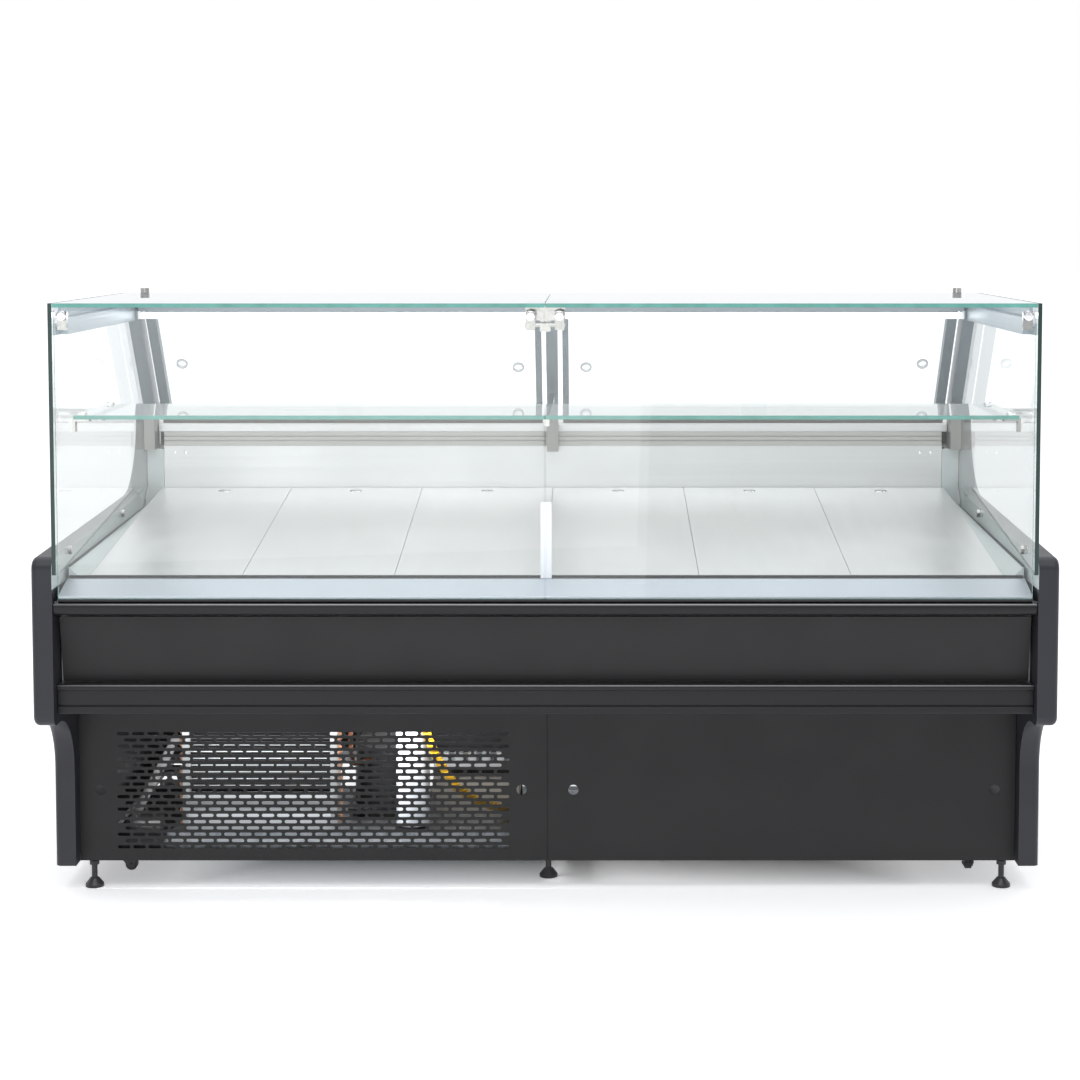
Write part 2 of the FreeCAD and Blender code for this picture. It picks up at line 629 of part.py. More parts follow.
def post(name, x, foot, back, top="post_top"):
    """A rear post: it leans with the doors and turns upright at its knee."""
    rise = f"({top} - knee_level)"
    width = "post_thick / cos(rear_lean)"
    points = (("knee_depth", foot), ("knee_depth", "knee_level"),
              (f"knee_depth - {rise} * tan(rear_lean)", top),
              (f"knee_depth - {rise} * tan(rear_lean) + {width}", top), (back, "knee_level + 3"),
              (back, foot))
    return profile(name, points, x)


def track(name, x, low, high, fins):
    """A double channel that guides two sliding doors."""
    base = leaning_block(f"{name}_base", x, ("track_near", "track_far"), (low, high))
    walls = (("track_near", "track_near + 3"), ("near_door + door_glass + 2", "far_door - 2"),
             ("track_far - 3", "track_far"))
    ribs = [leaning_block(f"{name}_fin_{index}", x, wall, fins) for index, wall in enumerate(walls)]
    return joined(name, [base] + ribs)


def make_rear_frame():
    """Posts, door jambs and door tracks behind the display space."""
    posts = [post("post_left", span(-1, "post_inner", "overall_length / 2 - end_thick"), "post_foot", 930),
             post("post_right", span(1, "post_inner", "overall_length / 2 - end_thick"), "post_foot", 930),
             post("post_centre", ("-post_half", "post_half"), "post_foot - 4", 904, "post_top - 34")]
    low_fins = ("track_low + track_base", "track_low + track_base + track_lip")
    high_fins = ("track_high - 6 - track_lip", "track_high - 6")
    for word, side in (("left", -1), ("right", 1)):
        inner, outer = "jamb_inner - jamb_inner_width", "jamb_outer + jamb_outer_width"
        across = span(side, inner, outer)
        posts.append(track(f"low_track_{word}", across, "track_low", "track_low + track_base", low_fins))
        posts.append(track(f"high_track_{word}", across, "track_high - 6", "track_high", high_fins))
        upward = (low_fins[1] + " + 0.5", high_fins[0] + " - 0.5")
        for spot, near, far in (("inner", inner, "jamb_inner"), ("outer", "jamb_outer", outer)):
            posts.append(leaning_block(f"jamb_{word}_{spot}", span(side, near, far),
                                       ("track_near", "track_far"), upward))
    sub_part("rear_frame", together("rear_frame_pieces", posts))


def make_rear_doors():
    """Four sliding glass doors, numbered from the left, each with a finger hole."""
    low = "track_low + track_base + 0.6"
    high = "track_high - 6 - 1.5"
    outer_far, inner_far = "jamb_outer - 0.5", "jamb_inner + 1 + door_width"
    layout = ((-1, outer_far, "far_door", -1), (-1, inner_far, "near_door", 1),
              (1, inner_far, "near_door", 1), (1, outer_far, "far_door", -1))
    for number, (side, far, layer, edge) in enumerate(layout, start=1):
        pane = leaning_block(f"door_pane_{number}", span(side, f"{far} - door_width", far),
                             (layer, f"{layer} + door_glass"), (low, high))
        inset = "pull_inset" if edge < 0 else "door_width - pull_inset"
        hole = doc.addObject("Part::Cylinder", f"door_hole_{number}")
        bound(hole, "Radius", "pull_radius")
        bound(hole, "Height", "door_glass * 3")
        lean(hole, f"{side} * ({far} - {inset})", f"{layer} - door_glass", "pull_rise", ALONG_Y)
        sub_part(f"rear_door_{number}", less(f"door_{number}", pane, [hole]))


def make_fittings():
    """Chrome fittings: shelf brackets, shelf arm, centre hinge bracket, end glass screws and top knobs."""
    glass_face = "overall_length / 2 - end_thick - glass"
    under = "shelf_top - glass"
    parts = []
    for word, side in (("left", -1), ("right", 1)):
        for index, depth in enumerate((168, 425)):
            bracket = [
                block(f"shelf_bracket_{word}_{index}", span(side, f"{glass_face} - 34", glass_face),
                      (f"{depth} - 9", f"{depth} + 9"), (f"{under} - 5", under)),
                block(f"shelf_drop_{word}_{index}", span(side, f"{glass_face} - 6", glass_face),
                      (f"{depth} - 9", f"{depth} + 9"), (f"{under} - 26", f"{under} - 5")),
            ]
            parts.append(joined(f"shelf_clip_{word}_{index}", bracket))
        for index, depth in enumerate((115, 615)):
            start = span(side, f"{glass_face} - 7", glass_face)[0]
            parts.append(rod(f"glass_screw_{word}_{index}", 9, 7, start, depth,
                             f"end_glass_front + 34 + {index} * 8", ALONG_X))
        knob = rod(f"top_knob_{word}", 10, 11, f"{side} * 905", 676, "top_level")
        parts.append(knob)
    arm = block("shelf_arm", ("-6", "6"), ("shelf_front + 4", "knee_depth - 30"), (f"{under} - 14", under))
    parts.append(arm)
    bracket = [
        block("hinge_plate", (-39, 39), (54, 58), (1176, 1203)),
        block("hinge_flange", (-39, 39), (58, 90), (1199, 1203)),
        block("hinge_arm", (-10, 10), ("ear_front", 62), (1156, "ear_top")),
        block("hinge_web", (-10, 10), (54, 62), ("ear_top", 1199)),
        rod("hinge_pins", "pin_radius", "2 * clamp_inner + 22", "-clamp_inner - 11", "pivot_depth",
            "pivot_level", ALONG_X),
    ]
    parts.append(joined("centre_bracket", bracket))
    sub_part("glass_fittings", together("fittings", parts))


def make_lamp():
    """Lamp tube under the rear top rail, with end caps."""
    tube = rod("lamp_glass", "lamp_radius", 1840, -920, "lamp_depth", "lamp_level", ALONG_X)
    caps = [block(f"lamp_cap_{word}", span(side, 920, 924), ("lamp_depth - 8", "lamp_depth + 8"),
                  ("lamp_level - 8", "lamp_level + 9.5")) for word, side in (("left", -1), ("right", 1))]
    sub_part("lamp_tube", joined("lamp", [tube] + caps))


# Service side --------------------------------------------------------------------------------

def make_service_side():
    """Rear rail, worktop, control box with its rocker switch, and the mains gland."""
    sub_part("rear_rail", profile("rail", rail_outline(), ("-rail_half", "rail_half")))
    make_worktop()
    box, face, z = "switch_across", 1116, "switch_level"
    case = block("control_case", (f"{box} - 190", f"{box} + 40"), (1100, face), (f"{z} - 40", f"{z} + 40"))
    well = block("switch_well", (f"{box} - 13", f"{box} + 13"), (1106, 1130), (f"{z} - 16", f"{z} + 16"))
    window = block("display_window", (f"{box} - 150", f"{box} - 60"), (f"{face} - 2", 1130),
                   (f"{z} - 18", f"{z} + 18"))
    cut_case = less("control_case_cut", case, [well, window])
    sub_part("control_box", together("controls", [cut_case, mains_gland(-700, 110)]))
    rocker = profile("rocker", ((1109, f"{z} - 11"), (1109, f"{z} + 11"), (1114, f"{z} + 13"), (1118.5, z),
                                (1114, f"{z} - 13")), (f"{box} - 11", f"{box} + 11"))
    pivot = rod("rocker_pivot", "rocker_pin", 24, f"{box} - 12", "rocker_depth", z, ALONG_X)
    sub_part("lamp_switch", joined("rocker_with_pivot", [rocker, pivot]))


def rail_outline():
    """The rear rail in side view, with two grooves along its front."""
    front, floor = "rail_depth", "rail_depth + 3"
    points = [(front, "rail_bottom")]
    for low, high in ((857, 860), (867, 870)):
        points += [(front, low), (floor, low), (floor, high), (front, high)]
    return points + [(front, "rail_top"), ("rail_back", "rail_top"), ("rail_back", "rail_bottom")]


def make_worktop():
    """Service worktop: a flat sheet with folded edges and a front strip stepped down under the door track."""
    inner, wide = ("-post_inner + 2", "post_inner - 2"), ("-frame_half", "frame_half")
    behind_post, back = "worktop_front + 21", "worktop_back"
    strip = ("worktop_level - 5", "worktop_level - 1")
    sheet_low = "worktop_level - 4"
    sub_part("rear_worktop", together("worktop", [
        block("worktop_lip", inner, ("worktop_front", "worktop_front + 5"), ("rail_top", strip[0])),
        block("worktop_front_strip", inner, ("worktop_front", behind_post), strip),
        block("worktop_step", wide, (behind_post, "rail_back"), strip),
        block("worktop_sheet", wide, ("rail_back", back), (sheet_low, "worktop_level")),
        block("worktop_back_lip", wide, (f"{back} - 4", back), ("worktop_level - 36", sheet_low)),
    ]))


def mains_gland(x, z):
    """Gland for the mains lead, through the lower rear panel."""
    outside = "frame_back + 3.5"
    body = joined("gland", [rod("gland_thread", 7.8, 20, x, "frame_back - 8", z, ALONG_Y),
                            rod("gland_nut", 13, 12, x, outside, z, ALONG_Y),
                            rod("gland_dome", 9.5, 26, x, outside, z, ALONG_Y)])
    return less("gland_bored", body, [rod("gland_bore", 4.2, 60, x, "frame_back - 12", z, ALONG_Y)])


# Base and machine compartment ----------------------------------------------------------------

FEET = (("front_left", "-foot_outer", "foot_front"), ("front_centre", "0", "foot_centre"),
        ("front_right", "foot_outer", "foot_front"), ("rear_left", "-foot_outer", "foot_rear"),
        ("rear_centre", "0", "foot_rear"), ("rear_right", "foot_outer", "foot_rear"))


def make_base_frame():
    """Welded base: side, cross and centre tubes, corner uprights, castor plates and the machine tray."""
    low, high = "frame_bottom", "frame_bottom + frame_tube"
    first, middle, last = "frame_front", "frame_middle", "frame_back - frame_tube"
    holes = {word: rod(f"foot_hole_{word}", "stem_radius + stem_play", 60, x, depth, f"{low} - 20")
             for word, x, depth in FEET}
    inner = ("side_tube - frame_half", "frame_half - side_tube")
    crosses = [block(f"cross_tube_{index}", inner, (start, f"{start} + frame_tube"), (low, high))
               for index, start in enumerate((first, middle, last))]
    runs = ((f"{first} + frame_tube", middle), (f"{middle} + frame_tube", last))
    centres = [block(f"centre_tube_{index}", ("-frame_tube / 2", "frame_tube / 2"), run, (low, high))
               for index, run in enumerate(runs)]
    under_machine = ("-905", "-60")
    parts = [
        crosses[0], crosses[1], less("rear_cross_drilled", crosses[2], [holes["rear_centre"]]),
        less("front_centre_drilled", centres[0], [holes["front_centre"]]), centres[1],
        block("tray", under_machine, runs[0], (f"{high} - 2", high)),
        block("tray_lip", under_machine, (f"{first} + 34", f"{first} + 36"), (high, f"{high} + 12")),
    ]
    for word, side in (("left", -1), ("right", 1)):
        tube_side = block(f"side_tube_{word}", span(side, "frame_half - side_tube", "frame_half"),
                          (first, "frame_back"), (low, high))
        parts.append(less(f"side_tube_{word}_drilled", tube_side,
                          [holes[f"front_{word}"], holes[f"rear_{word}"]]))
        for spot, start in (("front", first), ("rear", last)):
            parts.append(block(f"upright_{word}_{spot}", span(side, "frame_half - 12", "frame_half"),
                               (start, f"{start} + frame_tube"), (high, "tub_bottom")))
        parts += [castor_plate(f"{word}_{spot}", side, depth) for spot, depth in
                  (("front", "castor_front"), ("rear", "castor_rear"))]
    sub_part("base_frame", together("base", parts))


def castor_plate(name, side, depth):
    """Plate under a side tube, drilled for a castor's stem."""
    low = "frame_bottom - 4"
    plate = block(f"castor_plate_{name}", span(side, "castor_across - 33", "frame_half"),
                  (f"{depth} - 32", f"{depth} + 32"), (low, "frame_bottom"))
    hole = rod(f"swivel_hole_{name}", "5 + running_gap", 12, f"{side} * castor_across", depth, f"{low} - 4")
    return less(f"castor_plate_{name}_drilled", plate, [hole])


def make_feet():
    """Screw-in levelling feet: domed pad, locknut and stem."""
    for word, x, depth in FEET:
        name = f"foot_{word}"
        parts = [
            rod(f"{name}_pad", "foot_radius", 6, x, depth, 0),
            cone(f"{name}_dome", "foot_radius", 9, 12, x, depth, 6),
            rod(f"{name}_stem", "stem_radius", "stem_top - 12", x, depth, 12),
            rod(f"{name}_nut", 10, 8, x, depth, 46),
        ]
        sub_part(name, joined(f"{name}_whole", parts))


def castor(word, side, depth, turn):
    """One swivel castor: a fork with its axle, and a wheel that runs on it."""
    name = f"castor_{word}"
    gap, thick = "wheel_width / 2 + 0.8", 2.5
    cheeks = []
    for cheek, sign in (("near", -1), ("far", 1)):
        body = doc.addObject("Part::Wedge", f"{name}_{cheek}_cheek")
        for prop, text in (("Xmin", -22), ("Xmax", 22), ("X2min", "castor_trail - 6"),
                           ("X2max", "castor_trail + 6"), ("Ymin", 0), ("Ymax", "53 - axle_level + 6"),
                           ("Zmin", 0), ("Zmax", thick), ("Z2min", 0), ("Z2max", thick)):
            bound(body, prop, text)
        body.Placement = Placement(Vector(), Rotation(Vector(1, 0, 0), -90))
        bound(body, "Placement.Base.y", f"{sign} * ({gap}) + ({sign} - 1) / 2 * {thick}")
        bound(body, "Placement.Base.z", 53)
        cheeks.append(body)
    crown = doc.addObject("Part::Box", f"{name}_crown")
    for prop, text in (("Length", 44), ("Width", f"2 * ({gap}) + 2 * {thick}"), ("Height", 8),
                       ("Placement.Base.x", -22), ("Placement.Base.y", f"-({gap}) - {thick}"),
                       ("Placement.Base.z", 53)):
        bound(crown, prop, text)
    stem = doc.addObject("Part::Cylinder", f"{name}_stem")
    for prop, text in (("Radius", 5), ("Height", 8), ("Placement.Base.z", 60)):
        bound(stem, prop, text)
    axle = local_rod(f"{name}_axle", "axle_radius", "wheel_width + 12")
    head = local_rod(f"{name}_axle_head", 4.5, "wheel_width + 9")
    slot = local_rod(f"{name}_wheel_room", "wheel_radius + 2", "wheel_width + 1.6")
    metal = joined(f"{name}_metal", cheeks + [crown, stem, head])
    fork = joined(f"{name}_fork_whole", [less(f"{name}_slotted", metal, [slot]), axle])
    tyre = local_rod(f"{name}_tyre", "wheel_radius", "wheel_width")
    bore = local_rod(f"{name}_bore", "axle_radius + running_gap", "wheel_width + 4")
    wheel = less(f"{name}_wheel_whole", tyre, [bore])
    for thing, label in ((fork, f"castor_fork_{word}"), (wheel, f"castor_wheel_{word}")):
        place(thing, f"{side} * castor_across", depth, 0, Rotation(Vector(0, 0, 1), turn))
        sub_part(label, thing)


def local_rod(name, radius, length):
    """A cylinder on a castor's axle line, in the castor's own frame."""
    cylinder = doc.addObject("Part::Cylinder", name)
    bound(cylinder, "Radius", radius)
    bound(cylinder, "Height", length)
    cylinder.Placement = Placement(Vector(), ALONG_Y)
    bound(cylinder, "Placement.Base.x", "castor_trail")
    bound(cylinder, "Placement.Base.y", f"-({length}) / 2")
    bound(cylinder, "Placement.Base.z", "axle_level")
    return cylinder


def make_castors():
    """Four small castors that clear the floor once the feet are wound down."""
    castor("front_left", -1, "castor_front", 0)
    castor("front_right", 1, "castor_front", 90)
    castor("rear_left", -1, "castor_rear", 180)
    castor("rear_right", 1, "castor_rear", 90)


def fan(label, radius, x, depth, z, blades):
    """An axial fan rotor on a fore-and-aft axis: a hub with pitched blades."""
    hub = doc.addObject("Part::Cylinder", f"{label}_hub")
    bound(hub, "Radius", radius * 0.24)
    bound(hub, "Height", 24)
    hub.Placement = Placement(Vector(0, -12, 0), ALONG_Y)
    parts = [hub]
    for index in range(blades):
        blade = doc.addObject("Part::Box", f"{label}_blade_{index}")
        for prop, number in (("Length", radius * 0.87), ("Width", 2), ("Height", radius * 0.62)):
            bound(blade, prop, number)
        pitched = Placement(Vector(radius * 0.13, 0, 0), Rotation(Vector(1, 0, 0), 24))
        pitched = pitched.multiply(Placement(Vector(0, -1, -radius * 0.31), UPRIGHT))
        round_the_hub = Placement(Vector(), Rotation(Vector(0, 1, 0), 360 * index / blades))
        blade.Placement = round_the_hub.multiply(pitched)
        parts.append(blade)
    sub_part(label, place(joined(f"{label}_whole", parts), x, depth, z))


def make_condensing_unit():
    """Condenser with end plates and fan shroud, and the two fans of the system."""
    left, right = "-coil_left", "-coil_right"
    low, high = 102, 346
    end_plates = [block(f"coil_plate_{index}", (x, f"{x} + 14"), (258, 334), (low, high))
                  for index, x in enumerate((left, f"{right} - 14"))]
    tubes, rows, margin = [], 17, 8
    for index in range(rows):
        z = low + margin + index * (high - low - 2 * margin) / (rows - 1)
        tubes.append(rod(f"coil_tube_{index}", 4, "coil_left - coil_right - 20", f"{left} + 10", 278, z, ALONG_X))
    across = (f"{left} + 14", f"{right} - 14")
    core = block("coil_core", across, (280, 322), (low + 4, high - 4))
    shroud = block("coil_shroud", across, (334, 338), (low, high))
    middle, level = -597, 224
    mouth = rod("coil_mouth", 112, 20, middle, 326, level, ALONG_Y)
    motor = joined("fan_motor", [rod("motor_can", 30, 50, middle, 392, level, ALONG_Y),
                                 block("motor_post", (middle - 10, middle + 10), (400, 424), (96, 200))])
    coil = joined("coil_block", end_plates + tubes + [core, less("shroud_cut", shroud, [mouth])])
    sub_part("condenser_coil", together("condenser", [coil, motor]))
    fan("condenser_fan", 104, middle, 364, level, 5)
    fan("evaporator_fan", 62, 240, 430, 540, 5)


def make_compressor():
    """Hermetic compressor on its mounting feet, and the tall receiver beside it."""
    x, depth = -345, 470
    half, front, back = 85, 395, 545
    can = [rod("compressor_can", 76, 130, x, depth, 118), cone("compressor_dome", 76, 44, 34, x, depth, 248),
           rod("compressor_crown", 44, 6, x, depth, 282),
           block("compressor_base", (x - half, x + half), (front, back), (108, 118)),
           block("terminal_box", (x + 45, x + 90), (372, 400), (160, 220))]
    corners = [(across, along) for along in (front + 15, back - 15) for across in (x - 70, x + 70)]
    mounts = [rod(f"rubber_mount_{index}", 10, 12, *corner, 96) for index, corner in enumerate(corners)]
    x, depth = -283, 300
    receiver = [rod("receiver_can", 27, 170, x, depth, 110), cone("receiver_top", 27, 12, 16, x, depth, 280),
                rod("receiver_foot", 34, 14, x, depth, 96)]
    sub_part("compressor", together("compressor_set", [joined("compressor_whole", can + mounts),
                                                       joined("receiver", receiver)]))


def tube(name, points, radius, bend):
    """A round tube along straight runs joined by tangent arcs."""
    spots = [Vector(x, depth - size("overall_depth") / 2, z) for x, depth, z in points]
    edges = []
    start = spots[0]
    for before, corner, after in zip(spots, spots[1:], spots[2:]):
        inward, outward = (before - corner).normalize(), (after - corner).normalize()
        half_turn = (math.pi - inward.getAngle(outward)) / 2
        reach = bend * math.tan(half_turn)
        first, last = corner + inward * reach, corner + outward * reach
        middle_way = (inward + outward).normalize()
        middle = corner + middle_way * (bend / math.cos(half_turn) - bend)
        edges.append(Part.LineSegment(start, first).toShape())
        edges.append(Part.Arc(first, middle, last).toShape())
        start = last
    edges.append(Part.LineSegment(start, spots[-1]).toShape())
    path = Part.Wire(edges)
    ring = Part.Wire([Part.Circle(spots[0], spots[1] - spots[0], radius).toShape()])
    pipe = doc.addObject("Part::Feature", name)
    pipe.Shape = path.makePipeShell([ring], True, False)
    pipe.Placement = Placement()
    return pipe


def make_lines():
    """Copper tubes of the refrigerant circuit, the wiring conduit and the drain spout."""
    copper = size("tube_radius")
    hot = tube("hot_tube", ((-380, 394, 226), (-395, 370, 226), (-412, 350, 226), (-412, 300, 260),
                            (-412, 290, 318), (-430, 288, 318)), copper, 8)
    liquid = tube("liquid_tube", ((-283, 300, 297), (-283, 300, 322), (-300, 340, 340), (-300, 420, 366),
                                  (-300, 440, 406)), copper, 12)
    suction = tube("suction_tube", ((-345, 470, 289), (-345, 470, 330), (-260, 500, 352), (-200, 560, 366),
                                    (-200, 570, 406)), copper, 14)
    sub_part("refrigerant_tubes", together("circuit", [hot, liquid, suction]))
    sub_part("wiring_conduit", tube("conduit", ((-262, 262, 390), (-258, 262, 330), (-232, 264, 262),
                                                (-190, 268, 196), (-150, 300, 160), (-110, 360, 130),
                                                (-90, 440, 110)), size("conduit_radius"), 30))
    x, depth, step, floor = 300, 500, 240, "tub_bottom + tub_floor"
    spout = [rod("hose_end", "hose_end", 60, x, depth, f"{step} - 60"),
             rod("spout_tube", "drain_radius - 0.3", f"{floor} - {step}", x, depth, step),
             rod("spout_flange", 26, 4, x, depth, floor)]
    bore = rod("spout_bore", "hose_end - 2.5", 400, x, depth, 120)
    sub_part("drain_spout", less("spout", joined("spout_body", spout), [bore]))


def make_evaporator():
    """Evaporator under the deck: end plates, finned core and the plate that carries its fan."""
    plates = [block(f"evaporator_plate_{index}", (x, x + 3), (560, 700), (464, 610))
              for index, x in enumerate((-600, 597))]
    core = block("evaporator_core", (-597, 597), (566, 694), (476, 604))
    partition = block("fan_wall", (-900, 900), (450, 453), (464, 630))
    mouth = rod("fan_mouth", 68, 20, 240, 440, 540, ALONG_Y)
    motor = rod("evaporator_motor", 24, 40, 240, 462, 540, ALONG_Y)
    strut = block("evaporator_strut", (234, 246), (470, 496), (464, 530))
    sub_part("evaporator_coil", together("evaporator", [
        joined("evaporator_block", plates + [core]), less("fan_wall_cut", partition, [mouth]),
        joined("evaporator_motor_set", [motor, strut])]))


# Build, check and write ----------------------------------------------------------------------

def check_document():
    """Stop if any object failed or any sub-part is empty or not valid."""
    for thing in doc.Objects:
        if {"Invalid", "Error"} & set(thing.State):
            raise RuntimeError(f"{thing.Name} is in state {thing.State}")
    for label, thing in nodes.items():
        if thing.Shape.isNull() or not thing.Shape.isValid() or not thing.Shape.Solids:
            raise RuntimeError(f"{label} has no valid solid")


def write_parts():
    """Write each sub-part to its own file."""
    os.makedirs("parts", exist_ok=True)
    for label, thing in nodes.items():
        thing.Shape.exportStep(f"parts/{label}.step")


def main():
    fill_sheet()
    make_end_panels()
    make_front_trim()
    make_sill()
    make_kick_plates()
    make_rear_cladding()
    make_tub()
    make_linings()
    make_deck()
    make_fixed_glass()
    make_tilting_panes()
    make_top_frame()
    make_rear_frame()
    make_rear_doors()
    make_fittings()
    make_lamp()
    make_service_side()
    make_base_frame()
    make_feet()
    make_castors()
    make_condensing_unit()
    make_compressor()
    make_lines()
    make_evaporator()
    doc.recompute()
    check_document()
    write_parts()
    print(f"{len(nodes)} sub-parts written")


main()
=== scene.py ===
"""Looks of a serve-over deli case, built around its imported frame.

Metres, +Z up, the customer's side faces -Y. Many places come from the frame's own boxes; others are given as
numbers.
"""

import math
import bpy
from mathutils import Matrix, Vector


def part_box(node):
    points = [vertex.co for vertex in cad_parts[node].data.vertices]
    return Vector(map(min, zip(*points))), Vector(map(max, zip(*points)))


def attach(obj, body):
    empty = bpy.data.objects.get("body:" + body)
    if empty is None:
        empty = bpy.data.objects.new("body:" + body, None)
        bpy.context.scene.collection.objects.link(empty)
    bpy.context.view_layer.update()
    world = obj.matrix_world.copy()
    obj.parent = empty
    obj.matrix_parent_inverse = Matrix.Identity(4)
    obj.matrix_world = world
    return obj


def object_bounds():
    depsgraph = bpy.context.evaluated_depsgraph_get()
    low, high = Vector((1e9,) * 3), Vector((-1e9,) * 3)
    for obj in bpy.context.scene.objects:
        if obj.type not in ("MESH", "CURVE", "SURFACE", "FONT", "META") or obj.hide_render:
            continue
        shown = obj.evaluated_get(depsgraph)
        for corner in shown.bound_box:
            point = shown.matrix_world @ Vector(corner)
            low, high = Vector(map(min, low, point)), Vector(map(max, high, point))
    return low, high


bl_info = {
    "name": "Serve-over deli case",
    "version": (1, 0, 0),
    "blender": (4, 5, 0),
    "location": "3D View > Sidebar > Deli Case",
    "description": "Finishes, seals, pulls, screws and machine details of a refrigerated serve-over case",
    "category": "Object",
}

import bmesh
import bpy
from bpy.props import FloatProperty, FloatVectorProperty, PointerProperty
from mathutils import Matrix, Vector

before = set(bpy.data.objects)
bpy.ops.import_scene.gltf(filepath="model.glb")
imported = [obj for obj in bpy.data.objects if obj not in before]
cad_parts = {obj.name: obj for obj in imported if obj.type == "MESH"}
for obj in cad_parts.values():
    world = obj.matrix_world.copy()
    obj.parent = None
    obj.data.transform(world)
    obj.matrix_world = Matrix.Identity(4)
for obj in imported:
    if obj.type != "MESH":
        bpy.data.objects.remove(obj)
FRAME_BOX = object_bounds()

MM = 0.001
LEAN = math.radians(37)
DECK_SLOPE = math.radians(6.67)
TURN = 2 * math.pi
CABINET = "cabinet"
SIDES = ("left", "right")
X_AXIS, Y_AXIS, Z_AXIS = Vector((1, 0, 0)), Vector((0, 1, 0)), Vector((0, 0, 1))


# Settings ------------------------------------------------------------------------------------

def colour_setting(label, what, value):
    """A colour that the panel shows."""
    return FloatVectorProperty(name=label, description=what, subtype="COLOR", size=3, min=0, max=1,
                               default=value)


def length_setting(label, what, value):
    """A length in metres that the panel shows."""
    return FloatProperty(name=label, description=what, unit="LENGTH", precision=4, min=0, default=value)


class FinishSettings(bpy.types.PropertyGroup):
    """Colours of the case's finishes."""
    charcoal: colour_setting("Moulding", "Moulded end panels", (0.018, 0.019, 0.024))
    graphite: colour_setting("Sheet", "Powder-coated fascia, kick plates and rear panels", (0.014, 0.014, 0.014))
    trim: colour_setting("Trim", "Extruded bumper roll and lower trim", (0.009, 0.009, 0.010))
    aluminium: colour_setting("Aluminium", "Satin anodised sill and top frame", (0.56, 0.60, 0.65))
    post: colour_setting("Posts", "Posts, jambs and door tracks", (0.20, 0.23, 0.25))
    rail: colour_setting("Rear rail", "Grooved rail above the rear riser", (0.46, 0.45, 0.42))
    steel: colour_setting("Stainless steel", "Deck, riser and worktop", (0.80, 0.80, 0.79))
    lining: colour_setting("Lining", "Side linings", (0.50, 0.54, 0.53))
    chrome: colour_setting("Bright fittings", "Clamps, screws, knobs and brackets", (0.44, 0.43, 0.41))
    guide: colour_setting("Pane guide", "White plastic guide behind the panes' joint", (0.86, 0.87, 0.90))
    glass_face: colour_setting("Glass", "Glass seen through its faces", (0.972, 0.984, 0.980))
    glass_edge: colour_setting("Glass edge", "Ground edges of the glass", (0.10, 0.28, 0.24))


class TrimSettings(bpy.types.PropertyGroup):
    """Sizes of the small pieces."""
    seal_rise: length_setting("Deck seal", "How far the deck's front seal stands above the sill", 5.0 * MM)
    pull_outer: length_setting("Pull flange", "Outer radius of the finger pulls", 13.2 * MM)
    pull_inner: length_setting("Pull bore", "Inner radius of the finger pulls", 9.4 * MM)
    pull_proud: length_setting("Pull height", "How far a finger pull stands off its glass", 2.2 * MM)
    screw_radius: length_setting("Screw head", "Radius of the panel and riser screws", 3.6 * MM)
    bead_radius: length_setting("Glass bead", "Radius of the bead along the end glass", 1.7 * MM)
    bend_radius: length_setting("Return bends", "Radius of the condenser's return bends' tube", 3.6 * MM)
    spring_radius: length_setting("Stay spring", "Outer radius of the springs on the end bars", 5.5 * MM)


class StageSettings(bpy.types.PropertyGroup):
    """Camera and lights."""
    lens: FloatProperty(name="Lens", description="Focal length", unit="CAMERA", default=73.7)
    distance: length_setting("Distance", "Camera in front of the case's front face", 4.254)
    height: length_setting("Height", "Camera above the floor", 1.3575)
    across: length_setting("Across", "Camera to the right of the middle", 0.087)
    pitch: FloatProperty(name="Pitch", description="How far the camera looks down", subtype="ANGLE",
                         default=math.radians(4))
    key_watts: FloatProperty(name="Key", description="Soft light above the front", unit="POWER", default=42)
    top_watts: FloatProperty(name="Top", description="Soft light above the case", unit="POWER", default=20)
    fill_watts: FloatProperty(name="Fill", description="Low soft light in front", unit="POWER", default=8)
    bay_watts: FloatProperty(name="Machine bay", description="Light inside the machine bay", unit="POWER",
                             default=5)


# Shader wiring -------------------------------------------------------------------------------

